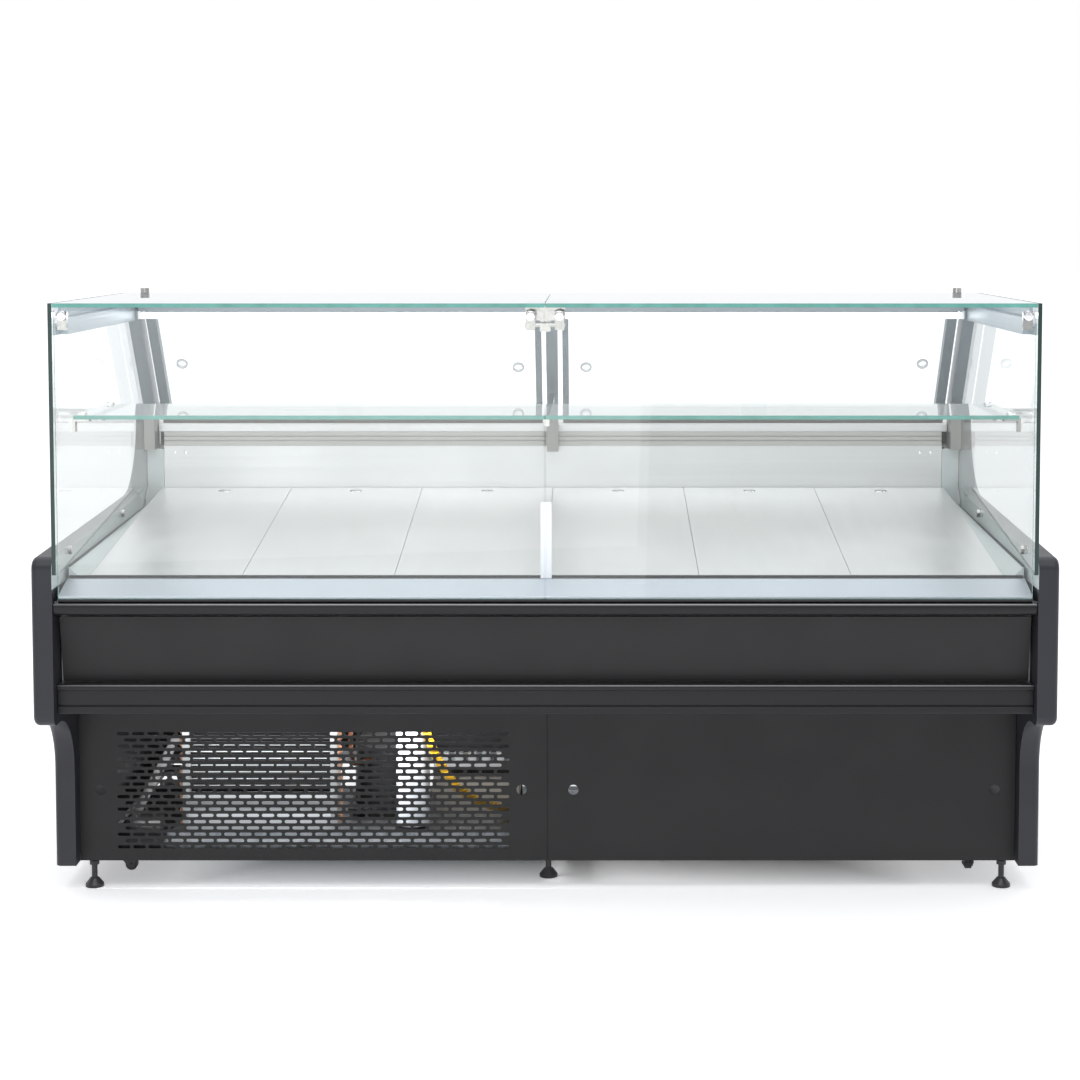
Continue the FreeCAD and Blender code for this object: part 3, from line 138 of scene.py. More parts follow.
class Wiring:
    """Short calls that place and link the nodes of one shader tree."""

    def __init__(self, tree):
        self.tree = tree
        self.spots = None

    def add(self, kind, **settings):
        """Place a node and set its own properties."""
        node = self.tree.nodes.new(kind)
        for key, value in settings.items():
            setattr(node, key, value)
        return node

    def feed(self, socket, value):
        """Give a socket a plain value, or link it to another node's output."""
        if isinstance(value, bpy.types.NodeSocket):
            self.tree.links.new(value, socket)
        else:
            socket.default_value = value

    def place(self):
        """The piece's own coordinates, which are the case's own."""
        if self.spots is None:
            self.spots = self.add("ShaderNodeTexCoord")
        return self.spots.outputs["Object"]

    def own_normal(self):
        """The surface direction in the piece's own axes."""
        self.place()
        return self.spots.outputs["Normal"]

    def sum_of(self, operation, first, second=0.0, clamp=False):
        """A Math node."""
        node = self.add("ShaderNodeMath", operation=operation, use_clamp=clamp)
        self.feed(node.inputs[0], first)
        self.feed(node.inputs[1], second)
        return node.outputs[0]

    def ranged(self, value, low, high, to_low=0.0, to_high=1.0):
        """A value moved from one range to another, and kept in it."""
        node = self.add("ShaderNodeMapRange")
        for name, number in (("Value", value), ("From Min", low), ("From Max", high), ("To Min", to_low),
                             ("To Max", to_high)):
            self.feed(node.inputs[name], number)
        return node.outputs["Result"]

    def mixed(self, share, first, second):
        """A colour between two."""
        node = self.add("ShaderNodeMix", data_type="RGBA")
        self.feed(node.inputs[0], share)
        for socket, value in ((node.inputs[6], first), (node.inputs[7], second)):
            self.feed(socket, value if isinstance(value, bpy.types.NodeSocket) else (*value, 1.0))
        return node.outputs[2]

    def noise(self, scale, detail=2.0, stretch=None, vector=None):
        """Noise, drawn out along an axis where stretch says."""
        vector = vector or self.place()
        if stretch:
            mapping = self.add("ShaderNodeMapping")
            self.feed(mapping.inputs["Vector"], vector)
            self.feed(mapping.inputs["Scale"], stretch)
            vector = mapping.outputs["Vector"]
        node = self.add("ShaderNodeTexNoise")
        self.feed(node.inputs["Vector"], vector)
        self.feed(node.inputs["Scale"], scale)
        self.feed(node.inputs["Detail"], detail)
        return node.outputs["Fac"]

    def along(self, axis, vector=None):
        """One coordinate, by its number."""
        node = self.add("ShaderNodeSeparateXYZ")
        self.feed(node.inputs[0], vector or self.place())
        return node.outputs[axis]

    def facing(self, direction):
        """How far the surface faces along a direction of the piece's own axes, either way."""
        node = self.add("ShaderNodeVectorMath", operation="DOT_PRODUCT")
        self.feed(node.inputs[0], self.own_normal())
        self.feed(node.inputs[1], tuple(direction))
        return self.sum_of("ABSOLUTE", node.outputs["Value"])

    def effect(self, group, **values):
        """Place a shared effect with its own values."""
        node = self.add("ShaderNodeGroup", node_tree=bpy.data.node_groups[group])
        for name, value in values.items():
            self.feed(node.inputs[name.replace("_", " ")], value)
        return node.outputs

    def bump(self, height, distance, strength=1.0, edge=0.0):
        """A Bump node's normal over softly rounded edges."""
        node = self.add("ShaderNodeBump")
        self.feed(node.inputs["Height"], height)
        self.feed(node.inputs["Distance"], distance)
        self.feed(node.inputs["Strength"], strength)
        if edge:
            soft = self.add("ShaderNodeBevel", samples=4)
            self.feed(soft.inputs["Radius"], edge)
            self.feed(node.inputs["Normal"], soft.outputs[0])
        return node.outputs["Normal"]


def effect_group(name, inputs, outputs):
    """An empty shared effect with named inputs and outputs, and its two end nodes."""
    tree = bpy.data.node_groups.new(name, "ShaderNodeTree")
    for label, kind, value in inputs:
        socket = tree.interface.new_socket(name=label, in_out="INPUT", socket_type=kind)
        socket.default_value = value
    for label in outputs:
        tree.interface.new_socket(name=label, in_out="OUTPUT", socket_type="NodeSocketFloat")
    wiring = Wiring(tree)
    return wiring, wiring.add("NodeGroupInput").outputs, wiring.add("NodeGroupOutput").inputs


def make_grain_effect():
    """Leathery grain of moulded plastic and orange peel of powder coat."""
    wiring, given, out = effect_group("moulded_grain", (("Scale", "NodeSocketFloat", 900.0),
                                                        ("Cloud Scale", "NodeSocketFloat", 5.0)),
                                      ("Height", "Cloud"))
    cells = wiring.add("ShaderNodeTexVoronoi", feature="SMOOTH_F1")
    wiring.feed(cells.inputs["Vector"], wiring.place())
    wiring.feed(cells.inputs["Scale"], given["Scale"])
    fine = wiring.noise(given["Scale"], 1.0)
    fine = wiring.sum_of("MULTIPLY", fine, 0.5)
    wiring.feed(out["Height"], wiring.sum_of("ADD", cells.outputs["Distance"], fine))
    wiring.feed(out["Cloud"], wiring.noise(given["Cloud Scale"], 4.0))


def make_brushed_effect():
    """Fine parallel lines that a brushing belt leaves along one axis."""
    wiring, given, out = effect_group("brushed_lines", (("Stretch", "NodeSocketVector", (2.0, 900.0, 900.0)),
                                                        ("Scale", "NodeSocketFloat", 1.0)), ("Lines", "Bands"))
    fine = wiring.noise(given["Scale"], 3.0, given["Stretch"])
    wide = wiring.noise(wiring.sum_of("MULTIPLY", given["Scale"], 0.06), 2.0, given["Stretch"])
    wiring.feed(out["Lines"], fine)
    wiring.feed(out["Bands"], wide)


def make_wear_effect():
    """Where an edge is rubbed: the surface against its own rounded-off edge, broken up."""
    wiring, given, out = effect_group("edge_wear", (("Width", "NodeSocketFloat", 0.0012),
                                                    ("Breakup", "NodeSocketFloat", 60.0)), ("Mask",))
    soft = wiring.add("ShaderNodeBevel", samples=4)
    wiring.feed(soft.inputs["Radius"], given["Width"])
    true = wiring.add("ShaderNodeNewGeometry")
    match = wiring.add("ShaderNodeVectorMath", operation="DOT_PRODUCT")
    wiring.feed(match.inputs[0], soft.outputs[0])
    wiring.feed(match.inputs[1], true.outputs["Normal"])
    turned = wiring.ranged(match.outputs["Value"], 0.995, 0.80)
    broken = wiring.ranged(wiring.noise(given["Breakup"], 4.0), 0.42, 0.62)
    wiring.feed(out["Mask"], wiring.sum_of("MULTIPLY", turned, broken))


def make_dust_effect():
    """Dust that settles on faces that look up."""
    wiring, given, out = effect_group("settled_dust", (("Amount", "NodeSocketFloat", 0.1),), ("Mask",))
    upward = wiring.along(2, wiring.own_normal())
    patchy = wiring.ranged(wiring.noise(14.0, 5.0), 0.35, 0.75, 0.3, 1.0)
    flat = wiring.ranged(upward, 0.2, 1.0)
    wiring.feed(out["Mask"], wiring.sum_of("MULTIPLY", wiring.sum_of("MULTIPLY", flat, patchy), given["Amount"]))


# Finishes ------------------------------------------------------------------------------------

def shade(colour, factor):
    """A lighter or darker colour of the same hue."""
    return tuple(min(1.0, channel * factor) for channel in colour)


def start_finish(name, roughness=0.5, metallic=0.0):
    """A new material with its wiring and its Principled shader."""
    material = bpy.data.materials.new(name)
    material.use_nodes = True
    shader = material.node_tree.nodes["Principled BSDF"]
    shader.inputs["Metallic"].default_value = metallic
    shader.inputs["Roughness"].default_value = roughness
    return material, Wiring(material.node_tree), shader


def coated(name, colour, roughness, grain, depth, edge=0.0008, wear=0.25, dust=0.06, cloud=0.10, sheen=0.5):
    """Moulded, powder-coated or enamelled skin: grain, clouded colour, rubbed edges and a little dust."""
    material, wiring, shader = start_finish(name)
    shader.inputs["Specular IOR Level"].default_value = sheen
    effect = wiring.effect("moulded_grain", Scale=grain, Cloud_Scale=6.0)
    base = wiring.mixed(effect["Cloud"], shade(colour, 1 - cloud), shade(colour, 1 + cloud))
    worn = wiring.sum_of("MULTIPLY", wiring.effect("edge_wear", Width=edge * 1.5, Breakup=45.0)["Mask"], wear)
    base = wiring.mixed(worn, base, shade(colour, 4.0))
    settled = wiring.effect("settled_dust", Amount=dust)["Mask"]
    wiring.feed(shader.inputs["Base Color"], wiring.mixed(settled, base, (0.42, 0.41, 0.39)))
    smear = wiring.ranged(wiring.noise(9.0, 5.0), 0.3, 0.7, roughness - 0.05, roughness + 0.06)
    wiring.feed(shader.inputs["Roughness"], wiring.sum_of("ADD", smear, wiring.sum_of("MULTIPLY", settled, 0.4)))
    wiring.feed(shader.inputs["Normal"], wiring.bump(effect["Height"], depth, 0.5, edge))
    return material


def brushed(name, colour, roughness, stretch, depth=0.00002, edge=0.0005, tone=0.10, metallic=1.0):
    """Brushed or drawn metal: lines along one axis in its colour, gloss and relief."""
    material, wiring, shader = start_finish(name, metallic=metallic)
    effect = wiring.effect("brushed_lines", Stretch=stretch, Scale=1.0)
    base = wiring.mixed(effect["Bands"], shade(colour, 1 - tone), shade(colour, 1 + tone))
    base = wiring.mixed(wiring.ranged(effect["Lines"], 0.35, 0.65, 0.0, 0.25), base, shade(colour, 0.88))
    wiring.feed(shader.inputs["Base Color"], base)
    hand = wiring.ranged(wiring.noise(5.0, 6.0), 0.35, 0.7, -0.03, 0.05)
    gloss = wiring.ranged(effect["Lines"], 0.3, 0.7, roughness - 0.05, roughness + 0.07)
    wiring.feed(shader.inputs["Roughness"], wiring.sum_of("ADD", gloss, hand))
    wiring.feed(shader.inputs["Normal"], wiring.bump(effect["Lines"], depth, 0.6, edge))
    return material


def repaint(material, wiring, share, colour):
    """Lay a second colour over a finish, where share says."""
    base = material.node_tree.nodes["Principled BSDF"].inputs["Base Color"]
    wiring.feed(base, wiring.mixed(share, base.links[0].from_socket, colour))
    return material


ALONG_CASE = (2.0, 900.0, 900.0)
FRONT_TO_BACK = (700.0, 2.0, 700.0)
UP_AND_DOWN = (700.0, 700.0, 2.0)


def charcoal_moulding(look):
    """Grained charcoal plastic of the end panels, with a grey sheet on their faces inside the glass."""
    material = coated("charcoal_moulding", look.charcoal, 0.40, 1400.0, 0.00004, edge=0.0015, wear=0.10,
                      sheen=0.4)
    wiring = Wiring(material.node_tree)
    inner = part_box("end_panel_right")[0].x
    inside = wiring.ranged(wiring.sum_of("ABSOLUTE", wiring.along(0)), inner + 0.6 * MM, inner + 0.3 * MM)
    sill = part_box("front_sill")[1].z
    above = wiring.ranged(wiring.along(2), sill - 8 * MM, sill - 6 * MM)
    return repaint(material, wiring, wiring.sum_of("MULTIPLY", inside, above), look.lining)


def graphite_sheet(look):
    """Powder-coated steel sheet."""
    return coated("graphite_sheet", look.graphite, 0.46, 800.0, 0.00004, edge=0.0006, wear=0.15, sheen=0.30)


def graphite_trim(look):
    """Smooth extruded trim with faint draw lines along its length."""
    material, wiring, shader = start_finish("graphite_trim")
    effect = wiring.effect("brushed_lines", Stretch=(1.2, 260.0, 260.0), Scale=1.0)
    base = wiring.mixed(effect["Bands"], shade(look.trim, 0.85), shade(look.trim, 1.2))
    worn = wiring.sum_of("MULTIPLY", wiring.effect("edge_wear", Width=0.002, Breakup=30.0)["Mask"], 0.2)
    wiring.feed(shader.inputs["Base Color"], wiring.mixed(worn, base, shade(look.trim, 4.0)))
    wiring.feed(shader.inputs["Roughness"], wiring.ranged(effect["Lines"], 0.3, 0.7, 0.30, 0.38))
    wiring.feed(shader.inputs["Normal"], wiring.bump(effect["Lines"], 0.00002, 0.5, 0.0012))
    shader.inputs["Specular IOR Level"].default_value = 0.3
    upward = wiring.ranged(wiring.along(2, wiring.own_normal()), 0.25, 0.8)
    wiring.feed(shader.inputs["Coat Weight"], upward)
    shader.inputs["Coat Roughness"].default_value = 0.16
    shader.inputs["Coat IOR"].default_value = 2.2
    return material


def satin_aluminium(look):
    """Anodised extrusion of the sill and the top frame."""
    return brushed("satin_aluminium", look.aluminium, 0.34, ALONG_CASE, depth=0.000006, tone=0.04)


def post_aluminium(look):
    """Anodised posts, whose upright feet are a shade darker under their cover."""
    material = brushed("frame_aluminium", look.post, 0.36, UP_AND_DOWN, metallic=0.6)
    wiring = Wiring(material.node_tree)
    cover_height = 107 * MM
    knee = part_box("rear_frame")[0].z + cover_height
    foot = wiring.ranged(wiring.along(2), knee + 1 * MM, knee - 1 * MM)
    return repaint(material, wiring, foot, shade(look.rail, 0.62))


def bar_aluminium(look):
    """Grey anodised end bars and the paler top rail."""
    material = brushed("bar_aluminium", shade(look.post, 1.7), 0.36, FRONT_TO_BACK, metallic=0.5)
    wiring = Wiring(material.node_tree)
    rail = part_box("top_glass_panes")[1].y + 2 * MM
    rear = wiring.ranged(wiring.along(1), rail - 0.5 * MM, rail)
    return repaint(material, wiring, rear, shade(look.aluminium, 0.62))


def rail_aluminium(look):
    """Painted grooved rail above the riser."""
    return brushed("rail_aluminium", look.rail, 0.42, ALONG_CASE, metallic=0.35)


def deck_steel(look):
    """Deck plates, brushed from front to back."""
    return brushed("deck_steel", look.steel, 0.36, FRONT_TO_BACK, depth=0.000004, tone=0.05)


def riser_steel(look):
    """Rear riser and worktop, brushed along the case."""
    return brushed("riser_steel", shade(look.steel, 0.90), 0.38, ALONG_CASE, depth=0.000008, tone=0.05)


def lining_sheet(look):
    """Side linings: grey coated sheet with a soft sheen."""
    return brushed("lining_sheet", look.lining, 0.45, FRONT_TO_BACK, metallic=0.25)


def chrome(look):
    """Polished fittings with faint buffing marks."""
    material, wiring, shader = start_finish("bright_fittings", metallic=1.0)
    marks = wiring.noise(240.0, 5.0)
    wiring.feed(shader.inputs["Base Color"], wiring.mixed(marks, shade(look.chrome, 0.93), look.chrome))
    wiring.feed(shader.inputs["Roughness"], wiring.ranged(marks, 0.3, 0.7, 0.08, 0.19))
    wiring.feed(shader.inputs["Normal"], wiring.bump(marks, 0.00001, 0.4, 0.0006))
    return material


def clear_glass(look, name, face, edge_shade=1.0):
    """Float glass: clear through its faces, green along its ground edges, which glow faintly as painted light;
    face is the direction it faces, edge_shade a painted shade that darkens the edges.
    """
    material, wiring, shader = start_finish(name, roughness=0.0)
    smudge = wiring.ranged(wiring.noise(7.0, 6.0), 0.45, 0.8, 0.0, 0.035)
    wiring.feed(shader.inputs["Roughness"], smudge)
    tint = wiring.noise(1.4, 2.0)
    wiring.feed(shader.inputs["Base Color"], wiring.mixed(tint, shade(look.glass_face, 0.985), look.glass_face))
    shader.inputs["Transmission Weight"].default_value = 1.0
    shader.inputs["IOR"].default_value = 1.45
    edge = wiring.add("ShaderNodeBsdfPrincipled")
    streak = wiring.noise(1.0, 3.0, (40.0, 40.0, 40.0))
    edge_colour = wiring.mixed(streak, shade(look.glass_edge, 0.75 * edge_shade),
                               shade(look.glass_edge, 1.35 * edge_shade))
    wiring.feed(edge.inputs["Base Color"], edge_colour)
    # Painted glow: the edge colour also shines faintly, standing in for light caught in the edges.
    wiring.feed(edge.inputs["Emission Color"], edge_colour)
    edge.inputs["Emission Strength"].default_value = 0.10
    edge.inputs["Roughness"].default_value = 0.22
    solid = wiring.add("ShaderNodeMixShader")
    wiring.feed(solid.inputs[0], wiring.ranged(wiring.facing(face), 0.75, 0.65))
    wiring.feed(solid.inputs[1], shader.outputs[0])
    wiring.feed(solid.inputs[2], edge.outputs[0])
    light = wiring.add("ShaderNodeLightPath").outputs
    soft = wiring.sum_of("MAXIMUM", light["Is Shadow Ray"], light["Is Diffuse Ray"])
    mirrored = wiring.sum_of("SUBTRACT", light["Is Glossy Ray"], light["Is Transmission Ray"], clamp=True)
    soft = wiring.sum_of("MAXIMUM", soft, mirrored)
    clear = wiring.add("ShaderNodeBsdfTransparent")
    clear.inputs["Color"].default_value = (*look.glass_face, 1.0)
    whole = wiring.add("ShaderNodeMixShader")
    wiring.feed(whole.inputs[0], soft)
    wiring.feed(whole.inputs[1], solid.outputs[0])
    wiring.feed(whole.inputs[2], clear.outputs[0])
    wiring.feed(material.node_tree.nodes["Material Output"].inputs["Surface"], whole.outputs[0])
    return material


def galvanised(look):
    """Zinc spangle on the base frame."""
    material, wiring, shader = start_finish("galvanised_steel", metallic=0.85)
    spangle = wiring.add("ShaderNodeTexVoronoi")
    wiring.feed(spangle.inputs["Vector"], wiring.place())
    wiring.feed(spangle.inputs["Scale"], 90.0)
    flake = wiring.along(0, spangle.outputs["Color"])
    zinc = wiring.mixed(flake, (0.40, 0.43, 0.46), (0.66, 0.69, 0.71))
    coil_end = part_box("condenser_coil")[0].x
    tray = wiring.ranged(wiring.along(0), coil_end - 34 * MM, coil_end - 30 * MM)
    base = wiring.mixed(tray, (0.07, 0.075, 0.08), zinc)
    settled = wiring.effect("settled_dust", Amount=0.2)["Mask"]
    wiring.feed(shader.inputs["Base Color"], wiring.mixed(settled, base, (0.20, 0.19, 0.18)))
    wiring.feed(shader.inputs["Roughness"], wiring.ranged(flake, 0.0, 1.0, 0.28, 0.5))
    wiring.feed(shader.inputs["Normal"], wiring.bump(spangle.outputs["Distance"], 0.00004, 0.4, 0.001))
    return material


def fin_stack(look):
    """Aluminium fins at 2 mm pitch across the condenser and evaporator, drawn near black as painted shade; the
    tubes are painted shade with a painted highlight along their tops, the end plates pale.
    """
    material, wiring, shader = start_finish("fin_aluminium", metallic=0.8)
    line = wiring.add("ShaderNodeTexWave", bands_direction="X", wave_profile="SAW")
    wiring.feed(line.inputs["Vector"], wiring.place())
    wiring.feed(line.inputs["Scale"], 80.0)
    wiring.feed(line.inputs["Distortion"], 0.4)
    patch = wiring.noise(30.0, 4.0)
    # Painted shade: the fins' near-black lines stand in for the shade deep in the stack.
    fins = wiring.mixed(line.outputs["Fac"], (0.015, 0.016, 0.018), (0.10, 0.105, 0.11))
    fins = wiring.mixed(wiring.ranged(patch, 0.5, 0.8, 0.0, 0.4), fins, (0.06, 0.055, 0.05))
    low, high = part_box("condenser_coil")
    core = low.y + 22 * MM
    proud = wiring.ranged(wiring.along(1), core - 0.6 * MM, core - 1.4 * MM)
    across = wiring.along(0)
    near_left = wiring.ranged(across, low.x + 14.5 * MM, low.x + 14 * MM)
    near_right = wiring.ranged(across, high.x - 14.5 * MM, high.x - 14 * MM)
    sheet = wiring.sum_of("MAXIMUM", proud, wiring.sum_of("MAXIMUM", near_left, near_right))
    front = wiring.ranged(wiring.along(1), high.y + 2 * MM, high.y + 1 * MM)
    plate = wiring.mixed(patch, (0.52, 0.54, 0.55), (0.68, 0.70, 0.71))
    # Painted highlight along the tops of the tubes, over near-black painted shade on the rest of them; the end
    # plates keep their pale colour.
    painted_tube_highlight = wiring.ranged(wiring.along(2, wiring.own_normal()), 0.62, 0.80)
    ends = wiring.sum_of("MAXIMUM", near_left, near_right)
    plates_and_painted_tube_light = wiring.mixed(wiring.sum_of("MAXIMUM", ends, painted_tube_highlight), (0.02, 0.02, 0.022), plate)
    wiring.feed(shader.inputs["Base Color"], wiring.mixed(wiring.sum_of("MULTIPLY", sheet, front), fins, plates_and_painted_tube_light))
    wiring.feed(shader.inputs["Roughness"], wiring.ranged(patch, 0.3, 0.7, 0.34, 0.5))
    wiring.feed(shader.inputs["Normal"], wiring.bump(line.outputs["Fac"], 0.0003, 0.6))
    return material


def copper(look):
    """Copper tube with brown tarnish."""
    material, wiring, shader = start_finish("copper_tube", metallic=1.0)
    stain = wiring.ranged(wiring.noise(38.0, 6.0), 0.35, 0.7)
    wiring.feed(shader.inputs["Base Color"], wiring.mixed(stain, (0.80, 0.34, 0.19), (0.34, 0.13, 0.07)))
    wiring.feed(shader.inputs["Roughness"], wiring.ranged(stain, 0.0, 1.0, 0.24, 0.5))
    wiring.feed(shader.inputs["Normal"], wiring.bump(stain, 0.00005, 0.3))
    return material


def black_enamel(look):
    """Glossy enamel of the compressor, feet and castor forks."""
    return coated("black_enamel", (0.016, 0.016, 0.018), 0.30, 500.0, 0.00006, edge=0.001, wear=0.35, dust=0.2)


def black_plastic(look):
    """Matte black plastic of fans and castor wheels."""
    return coated("black_plastic", (0.014, 0.014, 0.015), 0.50, 1200.0, 0.00005, wear=0.1, dust=0.18)


def receiver_painted_highlight(look):
    """Bright jacket of the receiver, next to the dark compressor; its white is a painted highlight, in place of
    the compressor's own bright highlight.
    """
    return coated("receiver_painted_highlight", (0.62, 0.65, 0.70), 0.28, 500.0, 0.00004, wear=0.0, dust=0.1, cloud=0.03)


def tub_skin(look):
    """Pale moulded skin of the insulated tub."""
    return coated("tub_skin", (0.55, 0.55, 0.53), 0.45, 700.0, 0.00005, wear=0.05, dust=0.1, cloud=0.04)


def lamp_white(look):
    """Lit tube between two white caps."""
    material, wiring, shader = start_finish("lamp_white", roughness=0.3)
    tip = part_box("lamp_tube")[1].x
    reach = wiring.sum_of("ABSOLUTE", wiring.along(0))
    lit = wiring.ranged(reach, tip - 5 * MM, tip - 8 * MM)
    dim = wiring.ranged(reach, tip - 60 * MM, tip - 8 * MM, 1.0, 0.72)
    glow = wiring.sum_of("MULTIPLY", lit, dim)
    shader.inputs["Base Color"].default_value = (0.86, 0.87, 0.88, 1.0)
    wiring.feed(shader.inputs["Emission Color"], wiring.mixed(glow, (0.0, 0.0, 0.0), (0.96, 0.98, 1.0)))
    shader.inputs["Emission Strength"].default_value = 3.0
    wiring.feed(shader.inputs["Roughness"], wiring.ranged(wiring.noise(40.0), 0.3, 0.7, 0.25, 0.35))
    return material


def control_plastic(look):
    """Fine-grained black plastic of the controls."""
    return coated("control_plastic", (0.030, 0.030, 0.033), 0.36, 1600.0, 0.00004, wear=0.12, dust=0.03)


def drain_plastic(look):
    """Grey plastic of the drain spout."""
    return coated("drain_plastic", (0.42, 0.42, 0.42), 0.42, 700.0, 0.00004, wear=0.05)


def yellow_conduit(look):
    """Ribbed ochre conduit: its ribs run round a tube that comes down and back."""
    material, wiring, shader = start_finish("yellow_conduit")
    ribs = wiring.add("ShaderNodeTexWave", bands_direction="Z", wave_profile="SIN")
    wiring.feed(ribs.inputs["Vector"], wiring.place())
    wiring.feed(ribs.inputs["Scale"], 62.0)
    base = wiring.mixed(ribs.outputs["Fac"], (0.36, 0.19, 0.005), (0.72, 0.42, 0.02))
    grime = wiring.ranged(wiring.noise(30.0, 5.0), 0.5, 0.8, 0.0, 0.4)
    wiring.feed(shader.inputs["Base Color"], wiring.mixed(grime, base, (0.16, 0.11, 0.03)))
    wiring.feed(shader.inputs["Roughness"], wiring.ranged(grime, 0.0, 0.4, 0.36, 0.55))
    wiring.feed(shader.inputs["Normal"], wiring.bump(ribs.outputs["Fac"], 0.0012, 0.8))
    return material


def seal_rubber(look):
    """Black rubber with a dull bloom."""
    return coated("seal_rubber", (0.012, 0.012, 0.013), 0.62, 900.0, 0.00004, wear=0.05, dust=0.08)


def pull_plastic(look):
    """Pale grey plastic of the finger pulls."""
    return coated("pull_plastic", (0.58, 0.59, 0.60), 0.32, 900.0, 0.00003, wear=0.0, dust=0.0, cloud=0.03)


def grey_box(look):
    """Beige-grey enamel of the relay box."""
    return coated("grey_box", (0.36, 0.34, 0.31), 0.40, 700.0, 0.00005, wear=0.2, dust=0.15)


def display_window(look):
    """Dark smoked window of the temperature display."""
    material, wiring, shader = start_finish("display_window")
    dots = wiring.noise(900.0, 1.0)
    wiring.feed(shader.inputs["Base Color"], wiring.mixed(dots, (0.006, 0.004, 0.004), (0.02, 0.008, 0.008)))
    wiring.feed(shader.inputs["Roughness"], wiring.ranged(dots, 0.3, 0.7, 0.06, 0.12))
    return material


def lit_segment(look):
    """Red light of the display's figures."""
    material, wiring, shader = start_finish("lit_segment", roughness=0.4)
    spread = wiring.noise(700.0, 1.0)
    wiring.feed(shader.inputs["Base Color"], wiring.mixed(spread, (0.5, 0.02, 0.01), (0.6, 0.04, 0.02)))
    wiring.feed(shader.inputs["Emission Color"], wiring.mixed(spread, (0.9, 0.05, 0.02), (1.0, 0.10, 0.05)))
    shader.inputs["Emission Strength"].default_value = 2.0
    return material


# Mesh work -----------------------------------------------------------------------------------

def piece(name, mesh, material, body=CABINET):
    """Turn mesh work into a shaded piece that rides on a body."""
    bmesh.ops.recalc_face_normals(mesh, faces=mesh.faces)
    data = bpy.data.meshes.new(name)
    mesh.to_mesh(data)
    mesh.free()
    data.shade_smooth()
    data.set_sharp_from_angle(angle=math.radians(35))
    data.materials.append(material)
    thing = bpy.data.objects.new(name, data)
    bpy.context.scene.collection.objects.link(thing)
    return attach(thing, body)


def add_block(mesh, low, high, soft=0.0008, turn=None):
    """A box with softened edges, from its low and high corners."""
    low, high = Vector(low), Vector(high)
    sides = high - low
    matrix = (turn or Matrix()) @ Matrix.Translation((low + high) / 2) @ Matrix.Diagonal((*sides, 1.0))
    made = bmesh.ops.create_cube(mesh, size=1.0, matrix=matrix)
    edges = {edge for vert in made["verts"] for edge in vert.link_edges}
    bmesh.ops.bevel(mesh, geom=list(edges), offset=min(soft, min(sides) * 0.3), segments=2, affect="EDGES",
                    profile=0.6)


def add_turned(mesh, outline, matrix, steps=32):
    """A turned shape: (radius, height) pairs about the local Z axis; a radius of zero closes an end."""
    rings = []
    for radius, height in outline:
        if radius == 0:
            rings.append([mesh.verts.new(matrix @ Vector((0, 0, height)))])
            continue
        rings.append([mesh.verts.new(matrix @ Vector((radius * math.cos(TURN * step / steps),
                                                      radius * math.sin(TURN * step / steps), height)))
                      for step in range(steps)])
    for lower, upper in zip(rings, rings[1:]):
        for step in range(steps):
            after = (step + 1) % steps
            if len(lower) == 1:
                mesh.faces.new((lower[0], upper[after], upper[step]))
            elif len(upper) == 1:
                mesh.faces.new((lower[step], lower[after], upper[0]))
            else:
                mesh.faces.new((lower[step], lower[after], upper[after], upper[step]))


def add_tube(mesh, points, radius, sides=12, closed=False):
    """A round tube along a line of points, capped unless it is closed on itself."""
    points = [Vector(point) for point in points]
    count = len(points)
    rings = []
    side = None
    for index, point in enumerate(points):
        before = points[index - 1] if index or closed else point
        after = points[(index + 1) % count] if index < count - 1 or closed else point
        heading = (after - before).normalized()
        if side is None:
            side = heading.orthogonal().normalized()
        side = (side - heading * side.dot(heading)).normalized()
        other = heading.cross(side)
        rings.append([mesh.verts.new(point + radius * (side * math.cos(TURN * step / sides)
                                                       + other * math.sin(TURN * step / sides)))
                      for step in range(sides)])
    pairs = list(zip(rings, rings[1:]))
    if closed:
        pairs.append((rings[-1], rings[0]))
    for lower, upper in pairs:
        for step in range(sides):
            after = (step + 1) % sides
            mesh.faces.new((lower[step], lower[after], upper[after], upper[step]))
    if not closed:
        mesh.faces.new(list(reversed(rings[0])))
        mesh.faces.new(rings[-1])


def add_strip(mesh, outline, x_low, x_high):
    """A strip along the case from its (y, z) outline."""
    ends = [[mesh.verts.new((x, y, z)) for y, z in outline] for x in (x_low, x_high)]
    count = len(outline)
    for index in range(count):
        after = (index + 1) % count
        mesh.faces.new((ends[0][index], ends[0][after], ends[1][after], ends[1][index]))
    mesh.faces.new(list(reversed(ends[0])))
    mesh.faces.new(ends[1])


def looking(direction):
    """A turn that lays local Z along a direction."""
    return Vector(direction).to_track_quat("Z", "Y").to_matrix().to_4x4()


def at(point, direction=Z_AXIS):
    """Place local work at a point, with its Z along a direction."""
    return Matrix.Translation(Vector(point)) @ looking(direction)


def screw_outline(radius):
    """A domed screw head with a round driver recess."""
    return ((radius, -radius * 0.1), (radius, radius * 0.18), (radius * 0.82, radius * 0.42),
            (radius * 0.5, radius * 0.54), (radius * 0.40, radius * 0.50), (radius * 0.36, radius * 0.14),
            (0, radius * 0.14))


# Operators -----------------------------------------------------------------------------------

GLASS_FACES = {
    "end_glass_panes": X_AXIS, "top_glass_panes": Z_AXIS, "shelf_panes": Z_AXIS,
    "front_glass_left": Y_AXIS, "front_glass_right": Y_AXIS,
}
DOOR_FACE = Vector((0, math.cos(LEAN), math.sin(LEAN)))

def nodes_named(*starts):
    """The frame's nodes whose names start in one of these ways."""
    return tuple(name for name in sorted(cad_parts) if name.startswith(starts))


